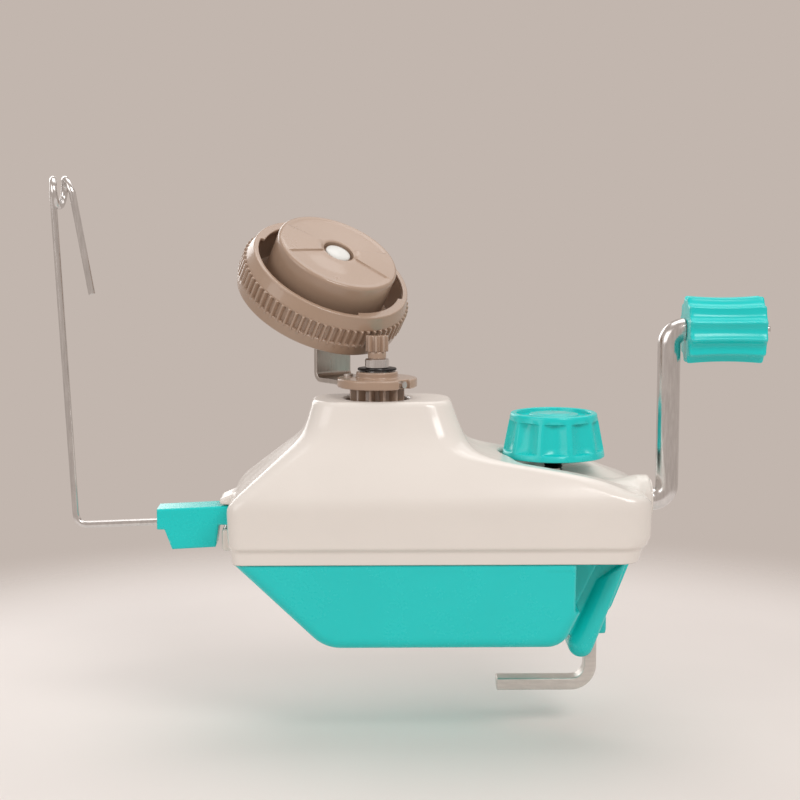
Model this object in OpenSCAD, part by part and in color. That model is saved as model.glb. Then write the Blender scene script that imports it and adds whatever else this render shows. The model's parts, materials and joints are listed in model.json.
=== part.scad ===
// Hand-cranked yarn ball winder that clamps to a table edge.
// The spindle axis is Z, the crank axis runs along X, and the underside of the base is Z = 0.

/* [Casing] */
// Spindle axis to the left wall
wall_left = 51; // [48:0.5:58]
// Spindle axis to the right wall
wall_right = 93.5; // [88:0.5:104]
// Half depth of the casing at its vertical wall
wall_half = 31; // [30.5:0.5:36]
// Height of the base, up to the seam
base_h = 30.4; // [29:0.1:34]
// Height of the set-back lip above the seam
lip_h = 5.5; // [4:0.1:7]
// Height of the vertical wall above the lip
wall_h = 17; // [16.5:0.1:19]
// Height of the turret above the vertical wall
turret_h = 31.2; // [30.5:0.1:33]
// Turret top, spindle axis to its left edge
turret_left = 22; // [18:0.5:24]
// Turret top, spindle axis to its right edge
turret_right = 25; // [20:0.5:27]
// Half depth of the turret top
turret_half = 13.6; // [13.2:0.2:15]
// Wall thickness of the two shells
shell_t = 2.2; // [1.6:0.1:2.4]

/* [Crank] */
// Diameter of the crank rod
crank_d = 8; // [7:0.1:8.4]
// Diameter of the shaft inside the casing
shaft_d = 5; // [4:0.1:5.2]
// Height of the crank axis above the casing seam
crank_up = 17.5; // [16.6:0.1:18]
// Throw of the crank
crank_throw = 59.9; // [50:0.1:75]
// Centre-line radius of the crank bends
crank_bend = 5.2; // [4.8:0.1:6.5]
// Length of the grip
grip_len = 26.8; // [22:0.1:38]
// Largest diameter of the grip
grip_d = 24.4; // [20:0.2:28]
// Number of flutes along the grip
grip_flutes = 12; // [8:1:16]

/* [Drive] */
// Mean tooth radius of the crown gear
crown_r = 23.1; // [22.4:0.1:23.4]
// Teeth of the crown gear
crown_teeth = 33; // [33:1:33]
// Teeth of the rotor pinion
pinion_teeth = 12; // [12:1:12]
// Diameter of the fixed spindle post
post_d = 8.4; // [7.6:0.1:8.6]
// Clear height between turret and rotor flange
flange_lift = 3.9; // [3.4:0.1:5]
// Diameter of the rotor flange
flange_d = 28; // [26:0.5:30]
// Thickness of the rotor flange
flange_t = 3.2; // [3:0.1:4]

/* [Spool] */
// Tilt of the spool axis
spool_tilt = 34; // [33:0.5:35]
// Direction that the spool leans to, seen from above
spool_lean = -51; // [-60:1:-30]
// Pitch radius of the spool ring
ring_r = 30.9; // [30.5:0.1:31.3]
// Teeth of the spool ring
ring_teeth = 70; // [70:1:70]
// Teeth of the fixed sun pinion
sun_teeth = 8; // [8:1:8]
// Radius of the winding drum
drum_r = 22.3; // [19:0.1:23]
// Height of the drum top above the ribs of the ring
drum_h = 16.4; // [15:0.1:22]
// Diameter of the spool axle
axle_d = 6; // [5:0.1:7]

/* [Clamp] */
// Spindle axis to the clamp screw, along the casing
knob_x = 62.5; // [61:0.5:64]
// Clamp screw, behind the crank axis
knob_y = 5.5; // [5.4:0.1:6]
// Knob diameter at its foot
knob_d = 36.4; // [32:0.2:37]
// Knob diameter at its top
knob_top_d = 30.4; // [26:0.2:32]
// Knob height
knob_h = 15.6; // [14:0.2:18]
// Number of flutes around the knob
knob_flutes = 10; // [8:1:12]
// Diameter of the clamp screw
stud_d = 5; // [4:0.1:5]
// Thickness of the flat clamp bar
bar_t = 4.2; // [3.6:0.1:4.6]
// Width of the flat clamp bar
bar_w = 7.4; // [6:0.1:7.6]
// Table gap between the base and the hook, drawn up
table_gap = 16.1; // [14:0.1:24]
// Length of the hook under the table
hook_len = 35.3; // [28:0.1:44]

/* [Yarn guide] */
// Wire diameter
wire_d = 2.5; // [2:0.1:3]
// Reach of the guide beyond the casing wall
guide_reach = 54.8; // [48:0.1:66]
// Height of the eye above the underside
eye_z = 155.3; // [130:0.1:175]
// Radius of the eye, at the middle of the wire
eye_r = 4.5; // [4:0.1:6]
// Straight tail of the wire below the eye
tail_len = 35; // [20:0.5:45]
// Depth of the moulded guide bracket
bracket_w = 12; // [10.5:0.5:16]

/* [Fits] */
// Radial clearance of a shaft in its bush
run_fit = 0.06; // [0.03:0.01:0.09]
// Clearance between pieces that move past each other
gap = 0.4; // [0.35:0.05:0.6]
// Clearance of a screw in its hole
screw_fit = 0.1; // [0.05:0.05:0.2]

/* [Hidden] */
$fn = 64;
eps = 0.01;

WHITE = [0.90, 0.86, 0.81];
TEAL = [0.17, 0.75, 0.72];
BROWN = [0.56, 0.45, 0.37];
STEEL = [0.72, 0.70, 0.68];
DARK = [0.12, 0.12, 0.13];
BRASS = [0.72, 0.58, 0.30];
IVORY = [0.93, 0.92, 0.90];

// Casing levels
lip_z = base_h + lip_h;
crank_z = base_h + crank_up;
wall_z = lip_z + wall_h;
turret_z = wall_z + turret_h;
floor_t = 2.5;
corner_r = 9;
corner_l = 5;
turret_corner = 10;
lip_in = 2.0;
end_bevel = 4.5;
boss_r = 8.6;
boss_out = 2.3;
boss_end = wall_right + boss_out;

// Deck and knob seat
deck_z = wall_z + 5.0;
deck_slope = 11.5;
trough_r = 44;
seat_r = knob_d / 2 + 1.2;
knob_z = deck_z + 4.6;
ceil_z = wall_z - 1.5;

// Gears
pinion_r = crown_r * pinion_teeth / crown_teeth;
tooth_h = 1.37;
tooth_root = 1.5;
crown_face = 3;
crown_web = 3;
crown_x = pinion_r + tooth_root + 0.1;
pinion_top = turret_z + flange_lift;
pinion_z = crown_z_top() - 6.2;
function crown_z_top() = crank_z + crown_r;
turret_hole = pinion_r + tooth_h + 1.5;

// Rotor and spindle post
collar_r = 7.3;
collar_h = 2.2;
flange_top = pinion_top + flange_t;
collar_top = flange_top + collar_h;
clip_t = 0.8;
clip_z = collar_top + gap;
post_top = clip_z + clip_t + 3.2;
post_foot_r = post_d / 2 + 1.3;
post_foot_z = floor_t + 3.5;
pin_r = 1.2;

// Sun pinion and spool: the ribs of the ring pass the upper end of the sun pinion
sun_r = ring_r * sun_teeth / ring_teeth;
sun_tip = 0.45;
sun_root = 1.0;
sun_collar_r = 3.2;
sun_z0 = post_top + 2.5;
sun_z1 = post_top + 8.1;
rib_tip = 0.5;
rib_root = 0.9;
rib_low = -2.4;
rib_top = 3.6;
mesh_at = 2.6;
tip_r = ring_r + rib_tip;
root_r = ring_r - rib_root;
spool_off = sun_r - sun_root + gap + tip_r * cos(spool_tilt) + mesh_at * sin(spool_tilt);
spool_z = sun_z1 - 0.2 + tip_r * sin(spool_tilt) - mesh_at * cos(spool_tilt);
spool_c = [-spool_off * cos(spool_lean), -spool_off * sin(spool_lean), spool_z];
ring_low = -7.2;
ring_floor = 2.0;
ring_top = 8.5;
ring_wall = 2.0;
band_r = tip_r - 0.4;
shoulder_r = root_r + 0.5;
rim_r = ring_r - 1.6;
axle_r = axle_d / 2;
hub_r = axle_r + 3;
cap_r = 4.6;
cap_seat = drum_h - 2.6;
plate_z = ring_low - 1.1;

// Arm strip
arm_t = 1.8;
arm_w = 15.5;
arm_bend = 1.8;
riser_x = 24.5;

// Crank
arm_x = boss_end + 0.6 + 0.5 + crank_bend;
grip_z = crank_z + crank_throw;
grip_x = arm_x + crank_bend + gap;
grip_end = grip_x + grip_len;
pin_d = 5;
neck_d = 3.6;
bush_r = crank_d / 2 + 2;
bush_in = 6;
bearing_x = 24;
bearing_t = 4;
hub_len = 9;

// Clamp
bar_x = knob_x + 13;
arm_z = crank_z - shaft_d / 2 - bar_t - 2.5;
hook_z = -table_gap;
bar_bend = 4.8;
stud_top = knob_z + knob_h - 3.4;
insert_r = stud_d / 2 + 0.9;
lug_r = 5;
slot_gap = 0.5;
tongue_r = 4.7;
tongue_tilt = 24;
prong_y = 4.2;
prong_cut = 35;
web_y = 5.2;
plate_y = 8;
plate_t = 3;
tongue_foot = -3.3;
tongue_x = bar_x - bar_t / 2 - 1.4;
tongue_len_z = (base_h - tongue_foot + tongue_r * sin(tongue_tilt)) / cos(tongue_tilt) + 1;
end_w = 12;
end_top = 78.1;
end_low = 63.4;
pocket_x = 67.4;
pocket_z = 13;
roof_t = 2.2;

// Yarn guide
socket_z = wall_z - 12;
socket_h = 5;
socket_w = 8;
tongue_len = 9;
wire_z = socket_z - 0.7;
guide_end = wall_left + guide_reach;
bracket_len = 26;

// Fasteners
screw_r = 1.4;
head_r = 2.8;
screw_y = 19;
screw_xs = [-12, 52];
boss_col = 3.6;

function lerp(a, b, t) = a + (b - a) * t;

// Rounded rectangle as points, counter-clockwise from the right front corner, with two corner radii
corner_n = 8;
function rr(xl, xr, w, q, r) = [
    for (c = [[xr - r, r - w, -90, r], [xr - r, w - r, 0, r], [xl + q, w - q, 90, q], [xl + q, q - w, 180, q]])
        for (i = [0:corner_n])
            [c[0] + c[3] * cos(c[2] + 90 * i / corner_n), c[1] + c[3] * sin(c[2] + 90 * i / corner_n)]
];
function ring3(s) = [for (p = rr(s[1], s[2], s[3], s[4], s[5])) [p[0], p[1], s[0]]];

// Shell sections from the seam to the turret top: height, left and right end, half depth, two corner radii
function up(f) = wall_z + turret_h * f;
function sec(f, a, b, c) = [
    up(f), lerp(-wall_left, -turret_left, a), lerp(wall_right, turret_right, b),
    lerp(wall_half, turret_half, c), lerp(corner_l, turret_corner, c), lerp(corner_r, turret_corner, c)
];
function low(z, dl, dr, dw) = [
    z, dl - wall_left, wall_right - dr, wall_half - dw, corner_l - dw, corner_r - dw
];
outer_secs = [
    low(base_h, lip_in - 0.4, end_bevel, lip_in),
    low(lip_z - 0.5, lip_in - 0.6, 2.9, lip_in - 0.4),
    low(lip_z, 0.6, 1.9, 0.4),
    low(lip_z + 3.8, 0.3, 0.2, 0.2),
    low(wall_z - 4, 0, 0, 0),
    low(wall_z - 2.6, 0.5, 0, 0),
    low(wall_z - 0.7, 2.1, 0.7, 0.3),
    sec(0.012, 0.1, 0.045, 0.04),
    sec(0.088, 0.196, 0.145, 0.11),
    sec(0.164, 0.293, 0.225, 0.19),
    sec(0.23, 0.377, 0.32, 0.27),
    sec(0.295, 0.46, 0.48, 0.35),
    sec(0.335, 0.512, 0.64, 0.40),
    sec(0.355, 0.537, 0.735, 0.425),
    sec(0.38, 0.57, 0.81, 0.455),
    sec(0.427, 0.63, 0.865, 0.52),
    sec(0.51, 0.738, 0.903, 0.64),
    sec(0.57, 0.815, 0.92, 0.72),
    sec(0.625, 0.865, 0.93, 0.78),
    sec(0.79, 0.925, 0.96, 0.90),
    sec(0.925, 0.965, 0.98, 0.965),
    sec(0.98, 0.985, 0.993, 1.0),
    [turret_z, 1.1 - turret_left, turret_right - 1.2, turret_half - 1.4, turret_corner - 1, turret_corner - 1]
];
function inner_low(z, dl, dr, dw) = [
    z, dl + shell_t - wall_left, wall_right - dr - shell_t, wall_half - dw - shell_t,
    corner_l - dw - shell_t, corner_r - dw - shell_t
];
throat_x = knob_x - seat_r - shell_t;
function inner_up(f, a, c) = [
    up(f) - shell_t * 0.5, lerp(-wall_left, -turret_left, a) + shell_t * 0.8, throat_x - f * 14,
    lerp(wall_half, turret_half, c) - shell_t * 0.75, lerp(corner_l, turret_corner, c) - shell_t,
    lerp(corner_r, turret_corner, c) - shell_t
];
inner_secs = [
    inner_low(base_h, lip_in - 0.4, end_bevel, lip_in),
    inner_low(lip_z + 1, 0.8, 2.2, 0.4),
    inner_low(lip_z + 5, 0.4, 0.4, 0.2),
    inner_low(ceil_z - 3.5, 0.4, 0.4, 0.4),
    inner_low(ceil_z - 2.2, 1.2, 0.4, 0.5),
    [ceil_z - 0.3, 3.6 + shell_t - wall_left, wall_right - 8, wall_half - 1.3 * shell_t,
        corner_l - shell_t, corner_r - shell_t],
    [ceil_z, 4 + shell_t - wall_left, throat_x, wall_half - 1.4 * shell_t,
        corner_l - shell_t, corner_r - shell_t],
    inner_up(0.164, 0.293, 0.19),
    inner_up(0.295, 0.46, 0.35),
    inner_up(0.427, 0.63, 0.52),
    inner_up(0.57, 0.815, 0.72),
    inner_up(0.79, 0.925, 0.90),
    [turret_z - shell_t, shell_t - turret_left, throat_x - 14, turret_half - shell_t,
        turret_corner - shell_t, turret_corner - shell_t]
];

// Hollow loft: outer rings, inner rings and the flat rim that joins them at the seam
module hollow_loft(outer, inner) {
    n = 4 * (corner_n + 1);
    mo = len(outer);
    mi = len(inner);
    pts = [for (s = concat(outer, inner)) each ring3(s)];
    side = [
        for (k = [0:mo - 2]) for (j = [0:n - 1]) let (a = k * n, b = a + n, q = (j + 1) % n)
            each [[a + j, b + j, b + q], [a + j, b + q, a + q]]
    ];
    lining = [
        for (k = [mo:mo + mi - 2]) for (j = [0:n - 1]) let (a = k * n, b = a + n, q = (j + 1) % n)
            each [[a + j, b + q, b + j], [a + j, a + q, b + q]]
    ];
    rim = [
        for (j = [0:n - 1]) let (q = (j + 1) % n)
            each [[j, q, mo * n + q], [j, mo * n + q, mo * n + j]]
    ];
    top = [[for (j = [n - 1:-1:0]) (mo - 1) * n + j]];
    ceil = [[for (j = [0:n - 1]) (mo + mi - 1) * n + j]];
    polyhedron(pts, concat(side, lining, rim, top, ceil), convexity = 6);
}

// Extrusions along Y and along X of an outline drawn in the XZ and the YZ plane
module along_y(w) {
    rotate([90, 0, 0])
        translate([0, 0, -w])
            linear_extrude(2 * w)
                children();
}
module along_x(x0, x1) {
    translate([x0, 0, 0])
        rotate([90, 0, 90])
            linear_extrude(x1 - x0)
                children();
}
module x_cyl(r, x0, x1) {
    translate([x0, 0, 0])
        rotate([0, 90, 0])
            cylinder(r = r, h = x1 - x0);
}
module box(x0, x1, y0, y1, z0, z1) {
    translate([x0, y0, z0])
        cube([x1 - x0, y1 - y0, z1 - z0]);
}
module at_knob() {
    translate([knob_x, knob_y, 0])
        children();
}
module on_spool() {
    translate(spool_c)
        rotate([0, 0, spool_lean])
            rotate([0, spool_tilt, 0])
                children();
}
module on_arm() {
    rotate([0, 0, spool_lean + 180])
        children();
}
module at_screws() {
    for (x = screw_xs)
        for (s = [-1, 1])
            translate([x, s * screw_y, 0])
                children();
}

// White upper shell with turret, sloping dished deck, crank boss and guide socket
module top_shell() {
    color(WHITE)
        difference() {
            union() {
                difference() {
                    hollow_loft(outer_secs, inner_secs);
                    // dished deck
                    translate([knob_x, 0, deck_z])
                        rotate([0, deck_slope, 0])
                            translate([-17, 0, trough_r])
                                x_cyl(trough_r, 0, 70);
                    // round seat under the knob
                    at_knob()
                        translate([0, 0, deck_z])
                            cylinder(r = seat_r, h = 20);
                }
                // crank boss
                translate([0, 0, crank_z])
                    x_cyl(boss_r, boss_end - bush_in - 0.5, boss_end);
                // socket for the guide and the pad below it
                box(-wall_left + 1, -wall_left + tongue_len + 1.5, -bracket_w / 2, bracket_w / 2,
                    socket_z - 2, socket_z + socket_h + 2);
                box(-wall_left - 3.4, -wall_left + 2, 0.5 - bracket_w / 2, bracket_w / 2 - 0.5,
                    base_h + 0.2, socket_z - 2.4);
                // screw bosses with a rib to the wall
                for (x = screw_xs)
                    for (s = [-1, 1]) {
                        translate([x, s * screw_y, base_h])
                            cylinder(r = boss_col, h = 18);
                        box(x - 1, x + 1, s > 0 ? screw_y : 0.8 + shell_t / 2 - wall_half,
                            s > 0 ? wall_half - 0.8 - shell_t / 2 : -screw_y, base_h + 6, base_h + 17);
                    }
            }
            translate([0, 0, turret_z - 10])
                cylinder(r = turret_hole, h = 20);
            at_knob()
                translate([0, 0, ceil_z - 10])
                    cylinder(r = stud_d / 2 + gap, h = 40);
            translate([0, 0, crank_z])
                x_cyl(bush_r, boss_end - bush_in, boss_end + 5);
            translate([0, 0, crank_z])
                x_cyl(crank_d / 2 + gap, boss_end - bush_in - 5, boss_end);
            box(-wall_left - 5, -wall_left + tongue_len + gap, -socket_w / 2 - gap, socket_w / 2 + gap,
                socket_z - gap, socket_z + socket_h + gap);
            at_screws()
                translate([0, 0, base_h - 1])
                    cylinder(r = screw_r + screw_fit / 2, h = 15);
        }
}

// Base outlines
base_left = wall_left - 1.8;
base_half = wall_half - 2.6;
base_foot = 25;
base_toe = 18.2;
toe_r = 6;
heel_r = 7;
foot_r = 4;
function arc2(cx, cz, r, a0, a1, n) = [
    for (i = [0:n]) [cx + r * cos(lerp(a0, a1, i / n)), cz + r * sin(lerp(a0, a1, i / n))]
];
slant_l = atan2(base_h, base_left - base_toe);
slant_r = atan2(base_h, end_top - end_low);
function base_side(t) = concat(
    [[-base_left + t / sin(slant_l), base_h + eps]],
    arc2(-base_toe + toe_r * tan(slant_l / 2), toe_r, toe_r - t, 270 - slant_l, 270, 6),
    arc2(end_low - heel_r * tan(slant_r / 2), heel_r, heel_r - t, 270, 270 + slant_r, 6),
    [[end_top - t / sin(slant_r), base_h + eps]]
);
draft = atan2(base_half - base_foot, base_h);
function base_front(t) = let (y = base_foot - t / cos(draft), r = foot_r) concat(
    [[-(base_half - t / cos(draft)), base_h + eps]],
    arc2(-(y - r), t + r, r, 180, 270, 6),
    arc2(y - r, t + r, r, 270, 360, 6),
    [[base_half - t / cos(draft), base_h + eps]]
);
module base_block(t) {
    intersection() {
        along_y(60)
            polygon(base_side(t));
        along_x(-80, 120)
            polygon(base_front(t));
        translate([0, 0, -1])
            linear_extrude(base_h + 1 + (t > 0 ? 1 : 0))
                polygon(rr(-base_left + t, wall_right + 10, base_half - t, 5 - t, 5 - t));
    }
}
module on_tongue() {
    translate([tongue_x, 0, tongue_foot])
        rotate([0, tongue_tilt, 0])
            children();
}
// Round prongs, cut off on a slant below the roof, with a web between them
module clamp_tongue() {
    difference() {
        on_tongue()
            for (s = [-1, 1])
                translate([0, s * prong_y, 0]) {
                    cylinder(r = tongue_r, h = tongue_len_z);
                    sphere(r = tongue_r);
                }
        translate([pocket_x + 8, 0, pocket_z + 8.3])
            rotate([0, -prong_cut, 0])
                for (s = [-1, 1])
                    box(-20, 30, s > 0 ? prong_y + 0.4 : -20, s > 0 ? 20 : -prong_y - 0.4, 0, 20);
    }
    on_tongue()
        box(-tongue_r, tongue_r, -prong_y, prong_y, 0, tongue_len_z);
    web_top = base_h - roof_t / 2;
    axis_top = tongue_x + (web_top - tongue_foot) * tan(tongue_tilt);
    along_y(web_y)
        polygon([[end_low - 6, 1], [tongue_x, tongue_foot + 3], [axis_top, web_top], [end_low - 6, web_top]]);
    // flat plate behind the prongs
    plate_low = tongue_foot + 1.6;
    plate_x = bar_x + 6;
    translate([0, plate_y + plate_t / 2, 0])
        along_y(plate_t / 2)
            polygon([
                [tongue_x, plate_low],
                [plate_x, plate_low],
                [plate_x, plate_low + 6.5],
                [plate_x + 1.6, plate_low + 9.5],
                [plate_x + 1.6 + (web_top - plate_low - 9.5) * 0.4, web_top],
                [pocket_x - 1, web_top]
            ]);
}

// Teal base with the slanted ends, the forked clamp tongue and the screw columns
module base_shell() {
    color(TEAL) {
        difference() {
            union() {
                base_block(0);
                translate([0, 0, base_h - roof_t])
                    linear_extrude(roof_t)
                        polygon(rr(50, wall_right - end_bevel - 2.5, base_half - 0.4, 8, corner_r));
                clamp_tongue();
            }
            // seam plane
            box(-90, 130, -60, 60, base_h, base_h + 60);
            // side pockets at the clamp end
            for (s = [-1, 1])
                box(pocket_x, wall_right + 20, s > 0 ? end_w : -60, s > 0 ? 60 : -end_w,
                    pocket_z, base_h - roof_t);
            // hollow
            intersection() {
                base_block(shell_t);
                box(-90, pocket_x - shell_t, -60, 60, floor_t, base_h + 10);
            }
            intersection() {
                along_y(end_w - shell_t)
                    polygon(base_side(shell_t));
                box(pocket_x - 6, 130, -60, 60, floor_t, base_h + 10);
            }
            // slot for the clamp bar
            box(bar_x - bar_t / 2 - slot_gap, bar_x + bar_t / 2 + slot_gap, -bar_w / 2 - slot_gap,
                bar_w / 2 + slot_gap, -30, base_h + 10);
            at_screws()
                screw_bore();
            frame_holes();
        }
        difference() {
            at_screws()
                translate([0, 0, floor_t - eps])
                    cylinder(r = boss_col, h = base_h - floor_t + eps);
            at_screws()
                screw_bore();
        }
    }
}
module screw_bore() {
    translate([0, 0, -1]) {
        cylinder(r = screw_r + screw_fit, h = base_h + 10);
        cylinder(r = head_r + screw_fit, h = 4);
    }
}
frame_x = 16;
frame_y = 8;
module at_frame_screws() {
    for (s = [-1, 1])
        translate([frame_x, s * frame_y, 0])
            children();
}
module frame_holes() {
    at_frame_screws()
        translate([0, 0, -1])
            cylinder(r = screw_r + screw_fit, h = 10);
    at_frame_screws()
        translate([0, 0, -1])
            cylinder(r = head_r + screw_fit, h = 2.2);
}

// Inner frame that holds the post and the inner crank bearing
frame_w = 12;
module gear_frame() {
    color(IVORY)
        difference() {
            union() {
                box(-11, bearing_x + bearing_t, -frame_w, frame_w, floor_t, post_foot_z + 2);
                translate([0, 0, floor_t])
                    cylinder(r = post_foot_r + 3, h = crank_z - crown_r - crown_face / 2 - 1 - floor_t);
                box(bearing_x, bearing_x + bearing_t, -frame_w, frame_w, floor_t, crank_z);
                translate([0, 0, crank_z])
                    x_cyl(frame_w, bearing_x, bearing_x + bearing_t);
            }
            translate([0, 0, post_foot_z])
                cylinder(r = post_foot_r, h = 60);
            translate([0, 0, crank_z])
                x_cyl(shaft_d / 2 + 1.5, bearing_x - 1, bearing_x + bearing_t + 1);
            at_frame_screws()
                translate([0, 0, floor_t - 1])
                    cylinder(r = screw_r + screw_fit / 2, h = 4.6);
        }
}

// Fixed steel post: wide foot, running diameter, clip groove and a pin for the sun pinion
module spindle_post() {
    color(STEEL)
        difference() {
            union() {
                translate([0, 0, post_foot_z])
                    cylinder(r = post_foot_r, h = pinion_z - gap - post_foot_z);
                translate([0, 0, post_foot_z])
                    cylinder(r = post_d / 2, h = post_top - post_foot_z);
                translate([0, 0, post_foot_z])
                    cylinder(r = pin_r, h = sun_z1 - 0.6 - post_foot_z);
            }
            translate([0, 0, clip_z])
                difference() {
                    cylinder(r = post_d, h = clip_t);
                    translate([0, 0, -1])
                        cylinder(r = post_d / 2 - 1, h = clip_t + 2);
                }
        }
}

// Black spring clip in the groove of the post
module post_clip() {
    color(DARK)
        translate([0, 0, clip_z])
            difference() {
                cylinder(r = 6.8, h = clip_t);
                translate([0, 0, -1])
                    cylinder(r = post_d / 2 - 1, h = clip_t + 2);
                translate([0, 0, -1])
                    rotate([0, 0, 60])
                        box(0, 10, 1 - post_d / 2, post_d / 2 - 1, 0, clip_t + 2);
                for (a = [150, 330])
                    rotate([0, 0, a])
                        translate([5.4, 0, -1])
                            cylinder(r = 0.9, h = clip_t + 2);
            }
}

// Spur outline: root circle with trapezoid teeth, the first tooth at angle 0
module spur2d(n, r, tip, root, w_tip, w_root) {
    circle(r = r - root);
    for (i = [0:n - 1])
        rotate(360 * i / n)
            polygon([
                [r - root - 0.4, -w_root / 2],
                [r + tip, -w_tip / 2],
                [r + tip, w_tip / 2],
                [r - root - 0.4, w_root / 2]
            ]);
}

// Fixed sun pinion on top of the post
sun_tooth = 2 * PI * sun_r / sun_teeth;
module sun_pinion() {
    color(BROWN)
        difference() {
            union() {
                translate([0, 0, post_top])
                    cylinder(r = sun_collar_r, h = sun_z0 - post_top);
                translate([0, 0, sun_z0])
                    rotate([0, 0, spool_lean + 180])
                        linear_extrude(sun_z1 - sun_z0)
                            spur2d(sun_teeth, sun_r, sun_tip, sun_root, 0.28 * sun_tooth, 0.46 * sun_tooth);
            }
            translate([0, 0, post_top - 1])
                cylinder(r = pin_r, h = sun_z1 - 0.6 - post_top + 1);
        }
}

// Flanged bush in the crank boss
module crank_bush() {
    color(IVORY)
        translate([0, 0, crank_z])
            difference() {
                union() {
                    x_cyl(bush_r, boss_end - bush_in, boss_end);
                    x_cyl(bush_r + 1, boss_end, boss_end + 0.6);
                }
                x_cyl(crank_d / 2 + run_fit, boss_end - 30, boss_end + 5);
            }
}
module inner_bush() {
    color(BRASS)
        translate([0, 0, crank_z])
            difference() {
                x_cyl(shaft_d / 2 + 1.5, bearing_x, bearing_x + bearing_t);
                x_cyl(shaft_d / 2 + run_fit, bearing_x - 1, bearing_x + bearing_t + 1);
            }
}
module casing_screws() {
    color(STEEL)
        at_screws()
            translate([0, 0, 3]) {
                translate([0, 0, -1.8])
                    cylinder(r = head_r, h = 1.8);
                cylinder(r = screw_r, h = base_h + 10 - 3);
            }
}
module frame_screws() {
    color(STEEL)
        at_frame_screws() {
            translate([0, 0, 0.1])
                cylinder(r = head_r, h = 1.1);
            cylinder(r = screw_r, h = floor_t + 3);
        }
}

// Bent crank rod: shaft inside the casing, two bends and the grip pin
module bend(x, z, r, a0) {
    translate([x, 0, z])
        rotate([90, 0, 0])
            rotate([0, 0, a0])
                rotate_extrude(angle = 90)
                    translate([r, 0])
                        circle(d = crank_d);
}
shaft_step = boss_end - bush_in - 0.4;
ring_x = bearing_x + bearing_t + gap;
module crank_rod() {
    color(STEEL)
        difference() {
            union() {
                translate([0, 0, crank_z]) {
                    x_cyl(shaft_d / 2, crown_x + 1, shaft_step);
                    x_cyl(crank_d / 2, shaft_step, arm_x - crank_bend);
                }
                bend(arm_x - crank_bend, crank_z + crank_bend, crank_bend, -90);
                translate([arm_x, 0, crank_z + crank_bend])
                    cylinder(d = crank_d, h = crank_throw - 2 * crank_bend);
                bend(arm_x + crank_bend, grip_z - crank_bend, crank_bend, 90);
                translate([0, 0, grip_z]) {
                    x_cyl(pin_d / 2, arm_x + crank_bend, grip_end - 0.2);
                    x_cyl(neck_d / 2, arm_x + crank_bend, grip_end + 2.8);
                }
            }
            // groove for the retaining ring
            translate([0, 0, crank_z])
                difference() {
                    x_cyl(crank_d, ring_x, ring_x + 0.8);
                    x_cyl(shaft_d / 2 - 0.6, ring_x - 1, ring_x + 2);
                }
            // cross hole for the gear pin
            translate([crown_x + crown_web + 5, 0, crank_z - 20])
                cylinder(r = 0.9, h = 40);
        }
}
module shaft_ring() {
    color(DARK)
        translate([0, 0, crank_z])
            difference() {
                x_cyl(shaft_d / 2 + 1.9, ring_x, ring_x + 0.8);
                x_cyl(shaft_d / 2 - 0.6, ring_x - 1, ring_x + 2);
                box(ring_x - 1, ring_x + 2, -1.2, 1.2, 0, 20);
            }
}

// Crown gear: a web with face teeth towards the spindle, and a hub
crown_pitch = 2 * PI * crown_r / crown_teeth;
crown_out = crown_r + crown_face / 2;
module crown_gear() {
    color(IVORY)
        translate([0, 0, crank_z])
            rotate([0, 90, 0])
                difference() {
                    union() {
                        translate([0, 0, crown_x])
                            cylinder(r = crown_out, h = crown_web);
                        translate([0, 0, crown_x])
                            cylinder(r = 7, h = crown_web + hub_len);
                        for (i = [0:crown_teeth - 1])
                            rotate([0, 0, 180 + 360 * i / crown_teeth])
                                translate([crown_out - crown_face, 0, crown_x])
                                    rotate([90, 0, 90])
                                        linear_extrude(crown_face - 0.1)
                                            polygon([
                                                [-0.26 * crown_pitch, 0.5],
                                                [-0.12 * crown_pitch, -tooth_h - tooth_root],
                                                [0.12 * crown_pitch, -tooth_h - tooth_root],
                                                [0.26 * crown_pitch, 0.5]
                                            ]);
                    }
                    translate([0, 0, crown_x - 20])
                        cylinder(r = shaft_d / 2, h = 60);
                    translate([0, 0, crown_x + crown_web + 5])
                        rotate([0, 90, 0])
                            translate([0, 0, -20])
                                cylinder(r = 0.9, h = 40);
                }
}
module gear_pin() {
    color(STEEL)
        translate([crown_x + crown_web + 5, 0, crank_z - 7])
            cylinder(r = 0.9, h = 14);
}
module grip_washer() {
    color(STEEL)
        translate([0, 0, grip_z])
            difference() {
                x_cyl(3.4, grip_end + gap, grip_end + gap + 0.8);
                x_cyl(neck_d / 2, grip_end - 5, grip_end + 8);
            }
}

// Waisted fluted grip, free on its pin
grip_waist = 0.7;
function grip_r(t) = grip_d / 2 - grip_waist * (1 - pow(2 * t - 1, 2));
module crank_grip() {
    bore_r = pin_d / 2 + run_fit;
    flute_r = PI * grip_d / grip_flutes * 0.62;
    color(TEAL)
        translate([grip_x, 0, grip_z])
            rotate([0, 90, 0])
                difference() {
                    rotate_extrude()
                        polygon(concat(
                            [[bore_r, 0], [grip_r(0) - 0.5, 0], [grip_r(0.02), 0.02 * grip_len]],
                            [for (t = [0.15:0.1:0.85]) [grip_r(t), t * grip_len]],
                            [[grip_r(0.98), 0.98 * grip_len], [grip_r(1) - 0.5, grip_len], [bore_r, grip_len]]
                        ));
                    for (i = [0:grip_flutes - 1])
                        rotate([0, 0, 360 * (i + 0.5) / grip_flutes])
                            translate([grip_d / 2 + flute_r * 0.62, 0, -1])
                                cylinder(r = flute_r, h = grip_len + 2);
                }
}

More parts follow.
